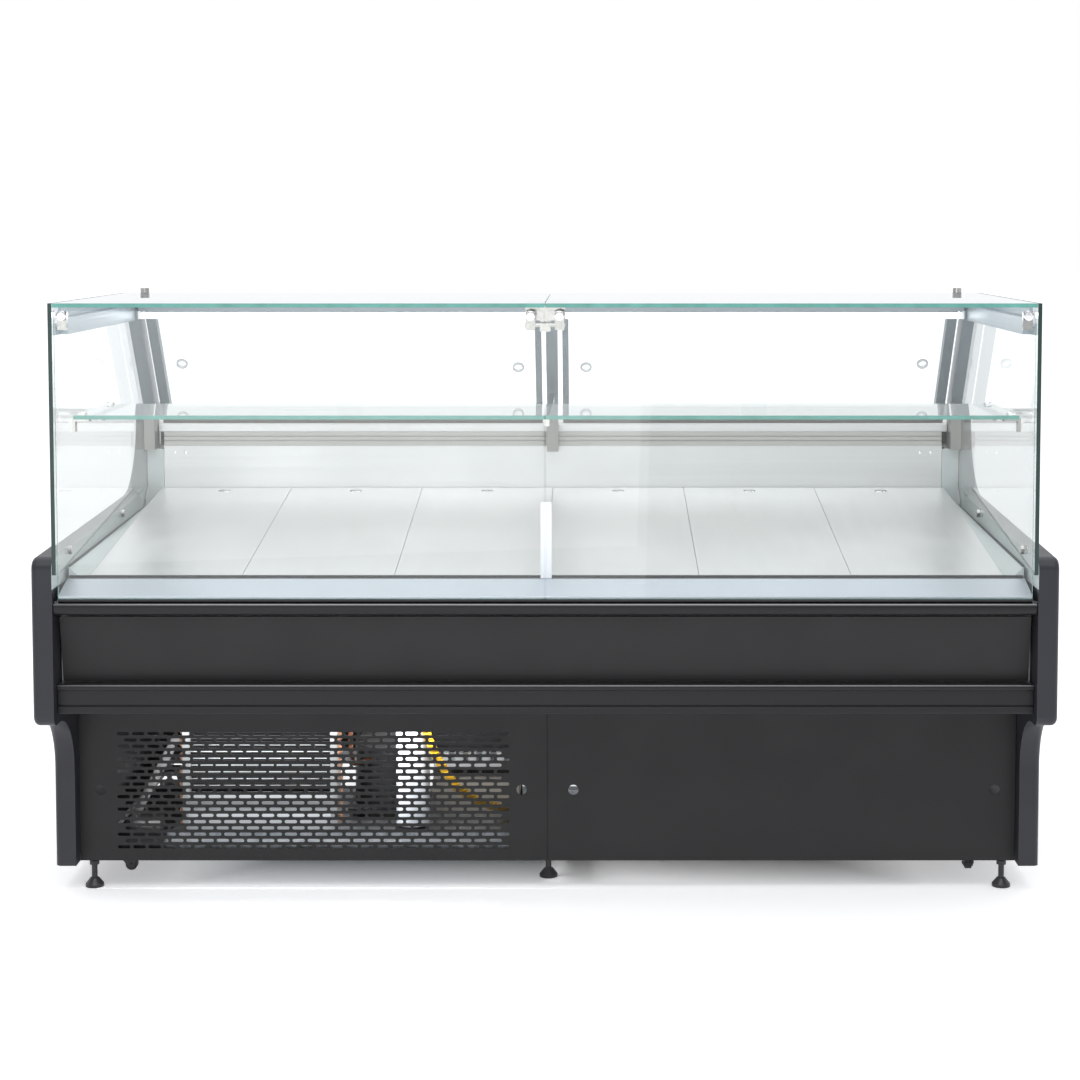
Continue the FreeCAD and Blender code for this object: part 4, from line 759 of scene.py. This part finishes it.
NODE_FINISHES = (
    (charcoal_moulding, ("end_panel_left", "end_panel_right")),
    (graphite_sheet, ("fascia_panel", "kick_plate_left", "kick_plate_right", "rear_panels")),
    (graphite_trim, ("front_bumper", "lower_trim")),
    (satin_aluminium, ("front_sill",)),
    (bar_aluminium, ("top_frame",)),
    (post_aluminium, ("rear_frame",)),
    (rail_aluminium, ("rear_rail",)),
    (deck_steel, tuple(f"deck_plate_{number}" for number in range(1, 7))),
    (riser_steel, ("rear_riser", "rear_worktop")),
    (lining_sheet, ("side_liners",)),
    (chrome, ("glass_fittings", "hinge_clamps_left", "hinge_clamps_right")),
    (galvanised, ("base_frame",)),
    (fin_stack, ("condenser_coil", "evaporator_coil")),
    (copper, ("refrigerant_tubes",)),
    (black_enamel, ("compressor",) + nodes_named("foot_", "castor_fork_")),
    (black_plastic, ("condenser_fan", "evaporator_fan") + nodes_named("castor_wheel_")),
    (tub_skin, ("insulated_tub",)),
    (lamp_white, ("lamp_tube",)),
    (control_plastic, ("control_box", "lamp_switch")),
    (drain_plastic, ("drain_spout",)),
    (yellow_conduit, ("wiring_conduit",)),
)


def give(node_name, material):
    """Put a finish on every material slot of a frame node."""
    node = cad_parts[node_name]
    if not node.material_slots:
        node.data.materials.append(material)
    for slot in node.material_slots:
        slot.material = material


class CASE_OT_effects(bpy.types.Operator):
    """Make the shared grain, brushing, wear and dust effects."""
    bl_idname = "deli_case.effects"
    bl_label = "Shared effects"

    def execute(self, context):
        for make in (make_grain_effect, make_brushed_effect, make_wear_effect, make_dust_effect):
            make()
        return {"FINISHED"}


class CASE_OT_finishes(bpy.types.Operator):
    """Give every node of the frame its finish."""
    bl_idname = "deli_case.finishes"
    bl_label = "Finishes"

    def execute(self, context):
        look = context.scene.deli_finish
        for maker, names in NODE_FINISHES:
            material = maker(look)
            for name in names:
                give(name, material)
        for name, face in GLASS_FACES.items():
            # Painted shade: the end glass's edges get 0.12 of the usual brightness.
            give(name, clear_glass(look, f"glass_{name}", face, 0.12 if name == "end_glass_panes" else 1.0))
        door = clear_glass(look, "glass_doors", DOOR_FACE)
        for number in range(1, 5):
            give(f"rear_door_{number}", door)
        return {"FINISHED"}


class CASE_OT_front_seals(bpy.types.Operator):
    """Rubber seals at the foot of the front glass, the front of the deck and the kick plates' joint."""
    bl_idname = "deli_case.front_seals"
    bl_label = "Front seals"

    def execute(self, context):
        rubber = seal_rubber(context.scene.deli_finish)
        sill_low, sill_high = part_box("front_sill")
        pane_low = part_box("front_glass_left")[0]
        roll_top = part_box("front_bumper")[1].z
        front, back = pane_low.y + 0.4 * MM, sill_low.y - 0.4 * MM
        low, high = roll_top + 0.2 * MM, pane_low.z - 0.2 * MM
        foot = bmesh.new()
        level = (low + high) / 2
        add_strip(foot, ((front + 0.6 * MM, low), (front, level), (front + 0.8 * MM, high),
                         (back - 0.8 * MM, high), (back, level), (back, low)), sill_low.x, sill_high.x)
        piece("pane_foot_seal", foot, rubber)
        deck_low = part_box("deck_plate_1")[0]
        rise = context.scene.deli_trim.seal_rise
        face, rear, top = sill_high.y - 3 * MM, deck_low.y - 0.4 * MM, sill_high.z
        seal = bmesh.new()
        half = -deck_low.x
        nose = ((face, top + 0.2 * MM), (face + 0.4 * MM, top + rise * 0.8), (face + 1.6 * MM, top + rise))
        body = nose + ((rear - 1.2 * MM, top + rise), (rear, top + rise * 0.8), (rear, top - 12 * MM),
                       (sill_high.y + 0.3 * MM, top - 12 * MM), (sill_high.y + 0.3 * MM, top + 0.2 * MM))
        add_strip(seal, body, -half, half)
        brow = nose + ((sill_high.y - 0.4 * MM, top + rise), (sill_high.y - 0.2 * MM, top + 0.2 * MM))
        for x_low, x_high in ((sill_low.x + 1 * MM, -half), (half, sill_high.x - 1 * MM)):
            add_strip(seal, brow, x_low, x_high)
        piece("deck_front_seal", seal, rubber)
        kick_low, kick_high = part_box("kick_plate_left")
        half, back = 14 * MM, kick_low.y + 1.6 * MM
        joint = bmesh.new()
        add_block(joint, (-half, back, kick_low.z + 2 * MM), (half, back + 1.4 * MM, kick_high.z - 1 * MM),
                  0.0003)
        piece("kick_plate_joint", joint, rubber)
        return {"FINISHED"}


class CASE_OT_pane_guide(bpy.types.Operator):
    """White upright guide in the middle of the sill, behind the joint of the front panes."""
    bl_idname = "deli_case.pane_guide"
    bl_label = "Pane guide"

    def execute(self, context):
        look = context.scene.deli_finish
        plastic = coated("guide_plastic", look.guide, 0.30, 1500.0, 0.00002, wear=0.0, dust=0.0, cloud=0.02)
        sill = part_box("front_sill")[1]
        face, foot = sill.y - 11 * MM, sill.z + 0.2 * MM
        top, half, rib = foot + 152 * MM, 11 * MM, 2.4 * MM
        guide = bmesh.new()
        add_block(guide, (-half, face + 1 * MM, foot), (half, face + rib, top), 0.0005)
        for x in (-half, -rib / 2, half - rib):
            add_block(guide, (x, face, foot), (x + rib, face + 1.2 * MM, top - 2 * MM), 0.0003)
        piece("pane_guide", guide, plastic)
        return {"FINISHED"}


class CASE_OT_finger_cups(bpy.types.Operator):
    """Shallow cups under the finger holes of the deck plates."""
    bl_idname = "deli_case.finger_cups"
    bl_label = "Finger cups"

    def execute(self, context):
        steel = bpy.data.materials["bright_fittings"]
        run = Vector((0, -math.cos(DECK_SLOPE), -math.sin(DECK_SLOPE)))
        upright = Vector((0, -math.sin(DECK_SLOPE), math.cos(DECK_SLOPE)))
        inset, outer, lip = 34 * MM, 13.95 * MM, -0.2 * MM
        hollow = ((outer, lip), (13.2 * MM, lip), (12.8 * MM, -6 * MM), (9 * MM, -8.5 * MM), (0, -9 * MM))
        shell = ((0, -9.8 * MM), (9.4 * MM, -9.3 * MM), (outer, -6 * MM), (outer, lip))
        for number in range(1, 7):
            low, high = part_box(f"deck_plate_{number}")
            rim = Vector(((low.x + high.x) / 2, high.y, high.z)) + run * inset
            cup = bmesh.new()
            add_turned(cup, hollow, at(rim, upright), 40)
            add_turned(cup, shell, at(rim, upright), 40)
            bmesh.ops.remove_doubles(cup, verts=cup.verts, dist=1e-6)
            piece(f"finger_cup_{number}", cup, steel, f"deck_plate_{number}")
        return {"FINISHED"}


class CASE_OT_glass_beads(bpy.types.Operator):
    """Beads where the side linings meet the end glass."""
    bl_idname = "deli_case.glass_beads"
    bl_label = "Glass beads"

    def execute(self, context):
        rubber = bpy.data.materials["seal_rubber"]
        radius = context.scene.deli_trim.bead_radius
        low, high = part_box("side_liners")
        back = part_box("deck_plate_1")[1].y
        glass_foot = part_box("end_glass_panes")[0].z
        front_level, rear_level = glass_foot + 1.5 * MM, glass_foot + 26 * MM
        for word, side in zip(SIDES, (-1, 1)):
            x = side * (high.x - radius * 0.6)
            bead = bmesh.new()
            middle = (x, (low.y + back) / 2, (front_level + rear_level) / 2)
            add_tube(bead, ((x, low.y + 2 * MM, front_level), middle, (x, back - 2 * MM, rear_level)), radius, 10)
            piece(f"end_glass_bead_{word}", bead, rubber)
        return {"FINISHED"}


def door_hole(name, rise):
    """Middle of a sliding door's glass at a height above its foot, along the lean, and its x range."""
    low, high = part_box(name)
    sine, cosine = math.sin(LEAN), math.cos(LEAN)
    tall, wide = high.z - low.z, high.y - low.y
    length = (tall * cosine - wide * sine) / (cosine ** 2 - sine ** 2)
    thick = (wide - length * sine) / cosine
    outward, upward = Vector((0, cosine, sine)), Vector((0, -sine, cosine))
    foot = Vector((0, low.y + length * sine, low.z))
    return foot + outward * (thick / 2) + upward * rise, thick, low.x, high.x


class CASE_OT_finger_pulls(bpy.types.Operator):
    """Ring finger pulls through the four sliding doors."""
    bl_idname = "deli_case.finger_pulls"
    bl_label = "Finger pulls"

    def execute(self, context):
        trim = context.scene.deli_trim
        plastic = pull_plastic(context.scene.deli_finish)
        rise, inset = 155.4 * MM, 39 * MM
        for number in range(1, 5):
            middle, thick, x_low, x_high = door_hole(f"rear_door_{number}", rise)
            # The pull stands near the jamb that the door closes against.
            middle.x = x_low + inset if number in (1, 3) else x_high - inset
            outer, inner, proud = trim.pull_outer, trim.pull_inner, trim.pull_proud
            half = thick / 2
            flange = ((inner, half + proud * 0.6), (inner + 1.2 * MM, half + proud),
                      (outer - 2.5 * MM, half + proud), (outer - 0.6 * MM, half + proud * 0.7),
                      (outer, half + 0.15 * MM), (inner + 0.5 * MM, half + 0.15 * MM))
            outline = [(radius, -height) for radius, height in flange] + list(reversed(flange))
            outline.append(outline[0])
            ring = bmesh.new()
            add_turned(ring, outline, at(middle, DOOR_FACE), 40)
            bmesh.ops.remove_doubles(ring, verts=ring.verts, dist=0.00001)
            piece(f"finger_pull_{number}", ring, plastic, f"rear_door_{number}")
        return {"FINISHED"}


class CASE_OT_screws(bpy.types.Operator):
    """Screws of the riser and the rear panels, the caps of the glass clamps and the shelf's knobs."""
    bl_idname = "deli_case.screws"
    bl_label = "Screws and caps"

    def execute(self, context):
        bright = bpy.data.materials["bright_fittings"]
        head = screw_outline(context.scene.deli_trim.screw_radius)
        riser = bmesh.new()
        face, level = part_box("rear_riser")[0].y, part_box("rear_rail")[0].z - 16 * MM
        for x in (-0.885, -0.86, 0.86, 0.885):
            add_turned(riser, head, at((x, face, level), -Y_AXIS), 20)
        piece("riser_screws", riser, bright)
        panel_low, panel_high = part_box("rear_panels")
        rear = bmesh.new()
        lower_face = panel_high.y - 36.5 * MM
        rows = ((panel_high.y, 0.434), (panel_high.y, 0.855), (lower_face, panel_low.z + 18 * MM),
                (lower_face, 0.398))
        for x in (-0.93, -0.46, 0.0, 0.46, 0.93):
            for face, level in rows:
                add_turned(rear, head, at((x, face, level), Y_AXIS), 20)
        piece("rear_panel_screws", rear, bright)
        cap = ((9.4 * MM, 0), (9.4 * MM, 0.15 * MM), (9.0 * MM, 0.36 * MM), (6.4 * MM, 0.40 * MM),
               (6.0 * MM, 0.12 * MM), (5.0 * MM, 0.12 * MM), (4.7 * MM, 0.40 * MM), (2.0 * MM, 0.45 * MM),
               (0, 0.45 * MM))
        clamp_radius = 10 * MM
        for word in SIDES:
            clamp_low, clamp_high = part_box(f"hinge_clamps_{word}")
            caps = bmesh.new()
            for x in (clamp_low.x + clamp_radius, clamp_high.x - clamp_radius):
                add_turned(caps, cap, at((x, clamp_low.y, clamp_high.z - clamp_radius), -Y_AXIS), 48)
            piece(f"clamp_caps_{word}", caps, bright, f"front_glass_{word}")
        shelf_low, shelf_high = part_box("shelf_panes")
        knob = ((0, 0.1 * MM), (8.5 * MM, 0.1 * MM), (9.0 * MM, 1.2 * MM), (8.6 * MM, 4.6 * MM),
                (7.4 * MM, 5.6 * MM), (3.0 * MM, 5.9 * MM), (0, 5.9 * MM))
        knobs = bmesh.new()
        for side in (-1, 1):
            for y in (shelf_low.y + 19 * MM, shelf_high.y - 24 * MM):
                add_turned(knobs, knob, at((side * (shelf_high.x - 14 * MM), y, shelf_high.z)), 32)
        piece("shelf_knobs", knobs, bright)
        return {"FINISHED"}


class CASE_OT_stay_springs(bpy.types.Operator):
    """Small coil springs that lie on the end bars behind the top glass knobs."""
    bl_idname = "deli_case.stay_springs"
    bl_label = "Stay springs"

    def execute(self, context):
        bright = bpy.data.materials["bright_fittings"]
        radius = context.scene.deli_trim.spring_radius
        wire, turns, steps = 0.9 * MM, 11, 16
        length = 52 * MM
        bar_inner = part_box("end_glass_panes")[1].x - 28 * MM
        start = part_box("top_glass_panes")[1].y - 64 * MM
        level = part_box("top_frame")[0].z + 33 * MM + radius + 0.2 * MM
        for word, side in zip(SIDES, (-1, 1)):
            x = side * (bar_inner + 7 * MM)
            spring = bmesh.new()
            coil = [(x + (radius - wire) * math.cos(TURN * step / steps),
                     start + length * step / (turns * steps),
                     level + (radius - wire) * math.sin(TURN * step / steps))
                    for step in range(turns * steps + 1)]
            add_tube(spring, coil, wire, 8)
            add_tube(spring, ((x, start - 6 * MM, level), (x, start + length + 6 * MM, level)), wire * 2, 12)
            piece(f"stay_spring_{word}", spring, bright)
        return {"FINISHED"}


class CASE_OT_condenser_details(bpy.types.Operator):
    """Return bends, fan guard, brace and drip pan of the condenser."""
    bl_idname = "deli_case.condenser_details"
    bl_label = "Condenser details"

    def execute(self, context):
        radius = context.scene.deli_trim.bend_radius
        low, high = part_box("condenser_coil")
        rows, lowest_row, highest_row = 17, 0.110, 0.338
        core_right, y = -0.437, low.y + 20 * MM
        pitch = (highest_row - lowest_row) / (rows - 1)
        bends = bmesh.new()
        for end, outward, start in ((low.x, -1, 0), (core_right, 1, 1)):
            inside = end - outward * 2 * MM
            for row in range(start, rows - 1, 2):
                middle = lowest_row + (row + 0.5) * pitch
                arc = [(end + outward * pitch / 2 * math.sin(math.pi * step / 10), y,
                        middle - pitch / 2 * math.cos(math.pi * step / 10)) for step in range(11)]
                ends = [(inside, y, middle - pitch / 2), (inside, y, middle + pitch / 2)]
                add_tube(bends, ends[:1] + arc + ends[1:], radius, 10)
        piece("condenser_return_bends", bends, bpy.data.materials["copper_tube"])
        fan_low, fan_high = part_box("condenser_fan")
        centre = (fan_low + fan_high) / 2
        reach = (fan_high.x - fan_low.x) / 2
        guard = bmesh.new()
        plane, wire, rings, spokes = fan_high.y + 6 * MM, 1.1 * MM, 6, 8
        smallest, largest = 34 * MM, reach + 6 * MM

        def around(size, angle, y):
            """A point of the guard, by its distance and angle from the fan's axis."""
            return centre.x + size * math.cos(angle), y, centre.z + size * math.sin(angle)

        for ring in range(rings):
            size = smallest + ring * (largest - smallest) / (rings - 1)
            add_tube(guard, [around(size, TURN * step / 48, plane) for step in range(48)], wire, 6, closed=True)
        for spoke in range(spokes):
            angle = TURN * (spoke + 0.5) / spokes
            add_tube(guard, [around(size, angle, plane + 2 * wire)
                             for size in (smallest - 1 * MM, largest + 2 * MM)], wire, 6)
        piece("condenser_fan_guard", guard, bpy.data.materials["black_enamel"])
        brace = bmesh.new()
        foot, head = Vector((-0.868, low.y + 30 * MM, 0.122)), Vector((-0.772, low.y + 26 * MM, 0.300))
        run = head - foot
        turn = Matrix.Translation(foot) @ looking(run)
        add_block(brace, (-1.2 * MM, -9 * MM, 0), (1.2 * MM, 9 * MM, run.length), 0.0005, turn)
        add_block(brace, (head.x - 2 * MM, head.y - 9 * MM, head.z - 2 * MM),
                  (low.x, head.y + 9 * MM, head.z + 1 * MM), 0.0005)
        add_block(brace, (foot.x - 4 * MM, foot.y - 12 * MM, foot.z - 24 * MM),
                  (foot.x + 60 * MM, foot.y + 40 * MM, foot.z + 2 * MM))
        piece("condenser_brace", brace, bpy.data.materials["riser_steel"])
        pan = bmesh.new()
        left, right = low.x + 12 * MM, high.x - 12 * MM
        for bottom, top, step in ((0.1065, 0.150, 3), (0.151, 0.168, 0), (0.169, 0.190, 4)):
            add_block(pan, (left, low.y - (4 + step) * MM, bottom), (right, low.y - 2 * MM, top), 0.0008)
        piece("condenser_pan", pan, bpy.data.materials["galvanised_steel"])
        return {"FINISHED"}


class CASE_OT_electrics(bpy.types.Operator):
    """Relay box, terminal shelf, wiring board and the receiver's jacket, beside the compressor; the jacket's
    white is a painted highlight.
    """
    bl_idname = "deli_case.electrics"
    bl_label = "Relay box"

    def execute(self, context):
        look = context.scene.deli_finish
        paint = grey_box(look)
        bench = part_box("condenser_coil")[0].z - 5.5 * MM
        left, right, front, top = -0.250, -0.068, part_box("wiring_conduit")[1].y + 1 * MM, 0.166
        low, high = Vector((left, front, bench)), Vector((right, front + 96 * MM, top))
        box = bmesh.new()
        add_block(box, low, high, 0.003)
        lid_low = Vector((low.x - 3 * MM, low.y - 4 * MM, high.z - 42 * MM))
        add_block(box, lid_low, (high.x + 3 * MM, high.y + 3 * MM, high.z + 2 * MM), 0.002)
        piece("relay_box", box, paint)
        head = screw_outline(4 * MM)
        heads = bmesh.new()
        for x in (low.x + 12 * MM, high.x - 12 * MM):
            add_turned(heads, head, at((x, lid_low.y, high.z - 12 * MM), -Y_AXIS), 20)
        piece("relay_box_screws", heads, bpy.data.materials["bright_fittings"])
        shelf = bmesh.new()
        level = high.z + 38 * MM
        add_block(shelf, (low.x, low.y + 4 * MM, level), (high.x, high.y, level + 2 * MM), 0.0006)
        add_block(shelf, (low.x, low.y + 2 * MM, level - 14 * MM), (high.x, low.y + 4 * MM, level + 2 * MM),
                  0.0006)
        for index in range(6):
            x = low.x + 14 * MM + index * 30 * MM
            add_block(shelf, (x, low.y + 14 * MM, level + 2 * MM),
                      (x + 18 * MM, low.y + 40 * MM, level + 20 * MM), 0.002)
        for x in (low.x + 2 * MM, high.x - 4 * MM):
            add_block(shelf, (x, high.y - 20 * MM, high.z + 2 * MM), (x + 2 * MM, high.y - 6 * MM, level),
                      0.0004)
        piece("terminal_shelf", shelf, bpy.data.materials["galvanised_steel"])
        board = bmesh.new()
        back = high.y + 12 * MM
        add_block(board, (low.x - 4 * MM, back, bench), (high.x + 6 * MM, back + 3 * MM, 0.395), 0.001)
        for index in range(5):
            x = low.x + 16 * MM + index * 36 * MM
            add_block(board, (x, back - 7 * MM, 0.300), (x + 9 * MM, back, 0.352), 0.0015)
        piece("wiring_board", board, bpy.data.materials["black_plastic"])
        can_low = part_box("compressor")[0]
        # The jacket's white is a painted highlight in the shape of the compressor's bright highlight.
        jacket = bmesh.new()
        reach, foot, crown = 35 * MM, can_low.z + 16 * MM, 0.332
        outline = ((0, foot), (reach - 2 * MM, foot), (reach, foot + 2 * MM), (reach, crown - 20 * MM),
                   (reach - 3 * MM, crown - 10 * MM), (reach - 12 * MM, crown - 2 * MM), (0, crown))
        receiver = (-0.283, can_low.y + reach - 1 * MM, 0.0)
        add_turned(jacket, outline, at(receiver), 48)
        piece("receiver_highlight_jacket", jacket, receiver_painted_highlight(look))
        return {"FINISHED"}


SEGMENTS = {"0": "abcdef", "3": "abcdg"}
BARS = {"a": (0, 1, 0), "d": (0, -1, 0), "g": (0, 0, 0), "b": (1, 0.5, 1), "c": (1, -0.5, 1), "e": (-1, -0.5, 1),
        "f": (-1, 0.5, 1)}


class CASE_OT_display(bpy.types.Operator):
    """Temperature display and buttons on the service side."""
    bl_idname = "deli_case.display"
    bl_label = "Temperature display"

    def execute(self, context):
        look = context.scene.deli_finish
        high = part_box("control_box")[1]
        switch_low, switch_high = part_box("lamp_switch")
        floor = high.y - 2 * MM
        level = (switch_low.z + switch_high.z) / 2
        middle = (switch_low.x + switch_high.x) / 2 - 105 * MM
        window = bmesh.new()
        add_block(window, (middle - 44 * MM, floor + 0.1 * MM, level - 17 * MM),
                  (middle + 44 * MM, floor + 1.2 * MM, level + 17 * MM), 0.0004)
        piece("display_window", window, display_window(look))
        lit = bmesh.new()
        half_wide, half_tall, thick = 5.5 * MM, 10 * MM, 1.1 * MM
        for place, figure in ((11 * MM, "0"), (-11 * MM, "3")):
            for name in SEGMENTS[figure]:
                across, up, upright = BARS[name]
                x, z = middle + place - across * half_wide, level + up * half_tall
                wide, tall = (thick, half_tall / 2 - thick * 1.2) if upright else (half_wide - thick * 1.2, thick)
                add_block(lit, (x - wide, floor + 1.2 * MM, z - tall), (x + wide, floor + 1.5 * MM, z + tall),
                          0.0002)
        piece("display_figures", lit, lit_segment(look))
        buttons = bmesh.new()
        dome = ((4.2 * MM, -0.3 * MM), (4.2 * MM, 0.8 * MM), (3.4 * MM, 1.5 * MM), (0, 1.8 * MM))
        for x in (middle + 62 * MM, middle + 76 * MM):
            for z in (level - 10 * MM, level + 10 * MM):
                add_turned(buttons, dome, at((x, high.y, z), Y_AXIS), 24)
        piece("display_buttons", buttons, bpy.data.materials["pull_plastic"])
        return {"FINISHED"}


def area_light(name, place, target, wide, tall, watts, tint=(1.0, 1.0, 1.0)):
    """A soft rectangular light that looks at a point."""
    data = bpy.data.lights.new(name, "AREA")
    data.shape = "RECTANGLE"
    data.size, data.size_y = wide, tall
    data.energy = watts
    data.color = tint
    lamp = bpy.data.objects.new(name, data)
    bpy.context.scene.collection.objects.link(lamp)
    lamp.location = place
    lamp.rotation_mode = "QUATERNION"
    lamp.rotation_quaternion = (Vector(target) - Vector(place)).to_track_quat("-Z", "Y")
    return lamp


def studio_world():
    """White surroundings: even to the eye and through glass, brighter overhead in reflections."""
    world = bpy.data.worlds.new("studio")
    world.use_nodes = True
    wiring = Wiring(world.node_tree)
    spots = wiring.add("ShaderNodeTexCoord")
    height = wiring.along(2, spots.outputs["Generated"])
    sky = wiring.mixed(wiring.ranged(height, -0.1, 0.9), (0.36, 0.37, 0.40), (0.96, 0.98, 1.02))
    behind = wiring.ranged(wiring.along(1, spots.outputs["Generated"]), 0.1, 0.5)
    sky = wiring.mixed(behind, sky, (0.97, 0.98, 1.0))
    light = wiring.add("ShaderNodeLightPath").outputs
    seen = wiring.sum_of("MAXIMUM", light["Is Camera Ray"], light["Is Transmission Ray"])
    back = world.node_tree.nodes["Background"]
    wiring.feed(back.inputs["Color"], wiring.mixed(seen, sky, (1.0, 1.0, 1.0)))
    back.inputs["Strength"].default_value = 1.0
    bpy.context.scene.world = world


class CASE_OT_stage(bpy.types.Operator):
    """Pale floor, soft lights, white surroundings and the camera."""
    bl_idname = "deli_case.stage"
    bl_label = "Stage"

    def execute(self, context):
        stage = context.scene.deli_stage
        low, high = FRAME_BOX
        floor = bmesh.new()
        bmesh.ops.create_circle(floor, cap_ends=True, segments=96, radius=60.0)
        data = bpy.data.meshes.new("floor")
        floor.to_mesh(data)
        floor.free()
        ground = bpy.data.objects.new("floor", data)
        context.scene.collection.objects.link(ground)
        ground.location.z = low.z - 0.5 * MM
        material, wiring, shader = start_finish("pale_floor", roughness=0.6)
        cloud = wiring.noise(0.8, 3.0)
        wiring.feed(shader.inputs["Base Color"], wiring.mixed(cloud, (0.93, 0.93, 0.93), (0.96, 0.96, 0.96)))
        beside = wiring.sum_of("SUBTRACT", wiring.sum_of("ABSOLUTE", wiring.along(0)), high.x)
        before = wiring.sum_of("SUBTRACT", wiring.sum_of("ABSOLUTE", wiring.along(1)), high.y)
        # Under the middle of the case the floor doesn't glow.
        clear = wiring.ranged(wiring.sum_of("MAXIMUM", beside, before), -0.42, -0.22)
        wiring.feed(shader.inputs["Emission Color"], wiring.mixed(clear, (0.0, 0.0, 0.0), (1.0, 1.0, 1.0)))
        shader.inputs["Emission Strength"].default_value = 0.36
        data.materials.append(material)
        studio_world()
        aim = (0.0, 0.0, 0.7)
        area_light("key_light", (0.0, low.y - 1.9, 3.1), aim, 3.2, 1.2, stage.key_watts, (0.97, 0.98, 1.0))
        area_light("top_light", (0.0, 0.1, 2.9), (0.0, 0.1, 0.0), 3.0, 1.6, stage.top_watts)
        area_light("fill_light", (-0.8, low.y - 3.4, 0.7), (0.0, low.y, 0.3), 2.2, 1.0, stage.fill_watts)
        bay_low, bay_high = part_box("kick_plate_left")
        middle = (bay_low.x + bay_high.x) / 2
        start = (middle - 0.02, bay_high.y + 6 * MM, bay_high.z - 30 * MM)
        bay = area_light("bay_light", start, (start[0], bay_high.y + 0.12, 0.1), 0.62, 0.04, stage.bay_watts)
        for ray in ("visible_camera", "visible_glossy", "visible_transmission"):
            setattr(bay, ray, False)
        lens = bpy.data.cameras.new("camera")
        lens.lens = stage.lens
        lens.sensor_width = 36.0
        lens.shift_x, lens.shift_y = -0.0463, -0.1466
        lens.dof.use_dof = False
        camera = bpy.data.objects.new("camera", lens)
        context.scene.collection.objects.link(camera)
        camera.location = (stage.across, low.y - stage.distance, stage.height)
        camera.rotation_euler = (math.pi / 2 - stage.pitch, 0, 0)
        context.scene.camera = camera
        context.scene.view_settings.view_transform = "Standard"
        return {"FINISHED"}


OPERATORS = (CASE_OT_effects, CASE_OT_finishes, CASE_OT_front_seals, CASE_OT_pane_guide, CASE_OT_glass_beads,
             CASE_OT_finger_cups, CASE_OT_finger_pulls, CASE_OT_screws, CASE_OT_stay_springs,
             CASE_OT_condenser_details, CASE_OT_electrics, CASE_OT_display, CASE_OT_stage)
SETTINGS = (("deli_finish", FinishSettings), ("deli_trim", TrimSettings), ("deli_stage", StageSettings))


class CASE_PT_panel(bpy.types.Panel):
    """Sizes, colours and steps of the deli case."""
    bl_idname = "CASE_PT_panel"
    bl_label = "Deli Case"
    bl_space_type = "VIEW_3D"
    bl_region_type = "UI"
    bl_category = "Deli Case"

    def draw(self, context):
        for name, group in SETTINGS:
            box = self.layout.box()
            for field in group.__annotations__:
                box.prop(getattr(context.scene, name), field)
        for operator in OPERATORS:
            self.layout.operator(operator.bl_idname)


def register():
    """Add the settings, the operators and the panel."""
    for name, group in SETTINGS:
        bpy.utils.register_class(group)
        setattr(bpy.types.Scene, name, PointerProperty(type=group))
    for made in (*OPERATORS, CASE_PT_panel):
        bpy.utils.register_class(made)


def unregister():
    """Take the panel, the operators and the settings away again."""
    for made in reversed((*OPERATORS, CASE_PT_panel)):
        bpy.utils.unregister_class(made)
    for name, group in reversed(SETTINGS):
        delattr(bpy.types.Scene, name)
        bpy.utils.unregister_class(group)


def main():
    """Build every piece in order."""
    register()
    for operator in OPERATORS:
        family, step = operator.bl_idname.split(".")
        getattr(getattr(bpy.ops, family), step)()


if __name__ == "__main__":
    main()
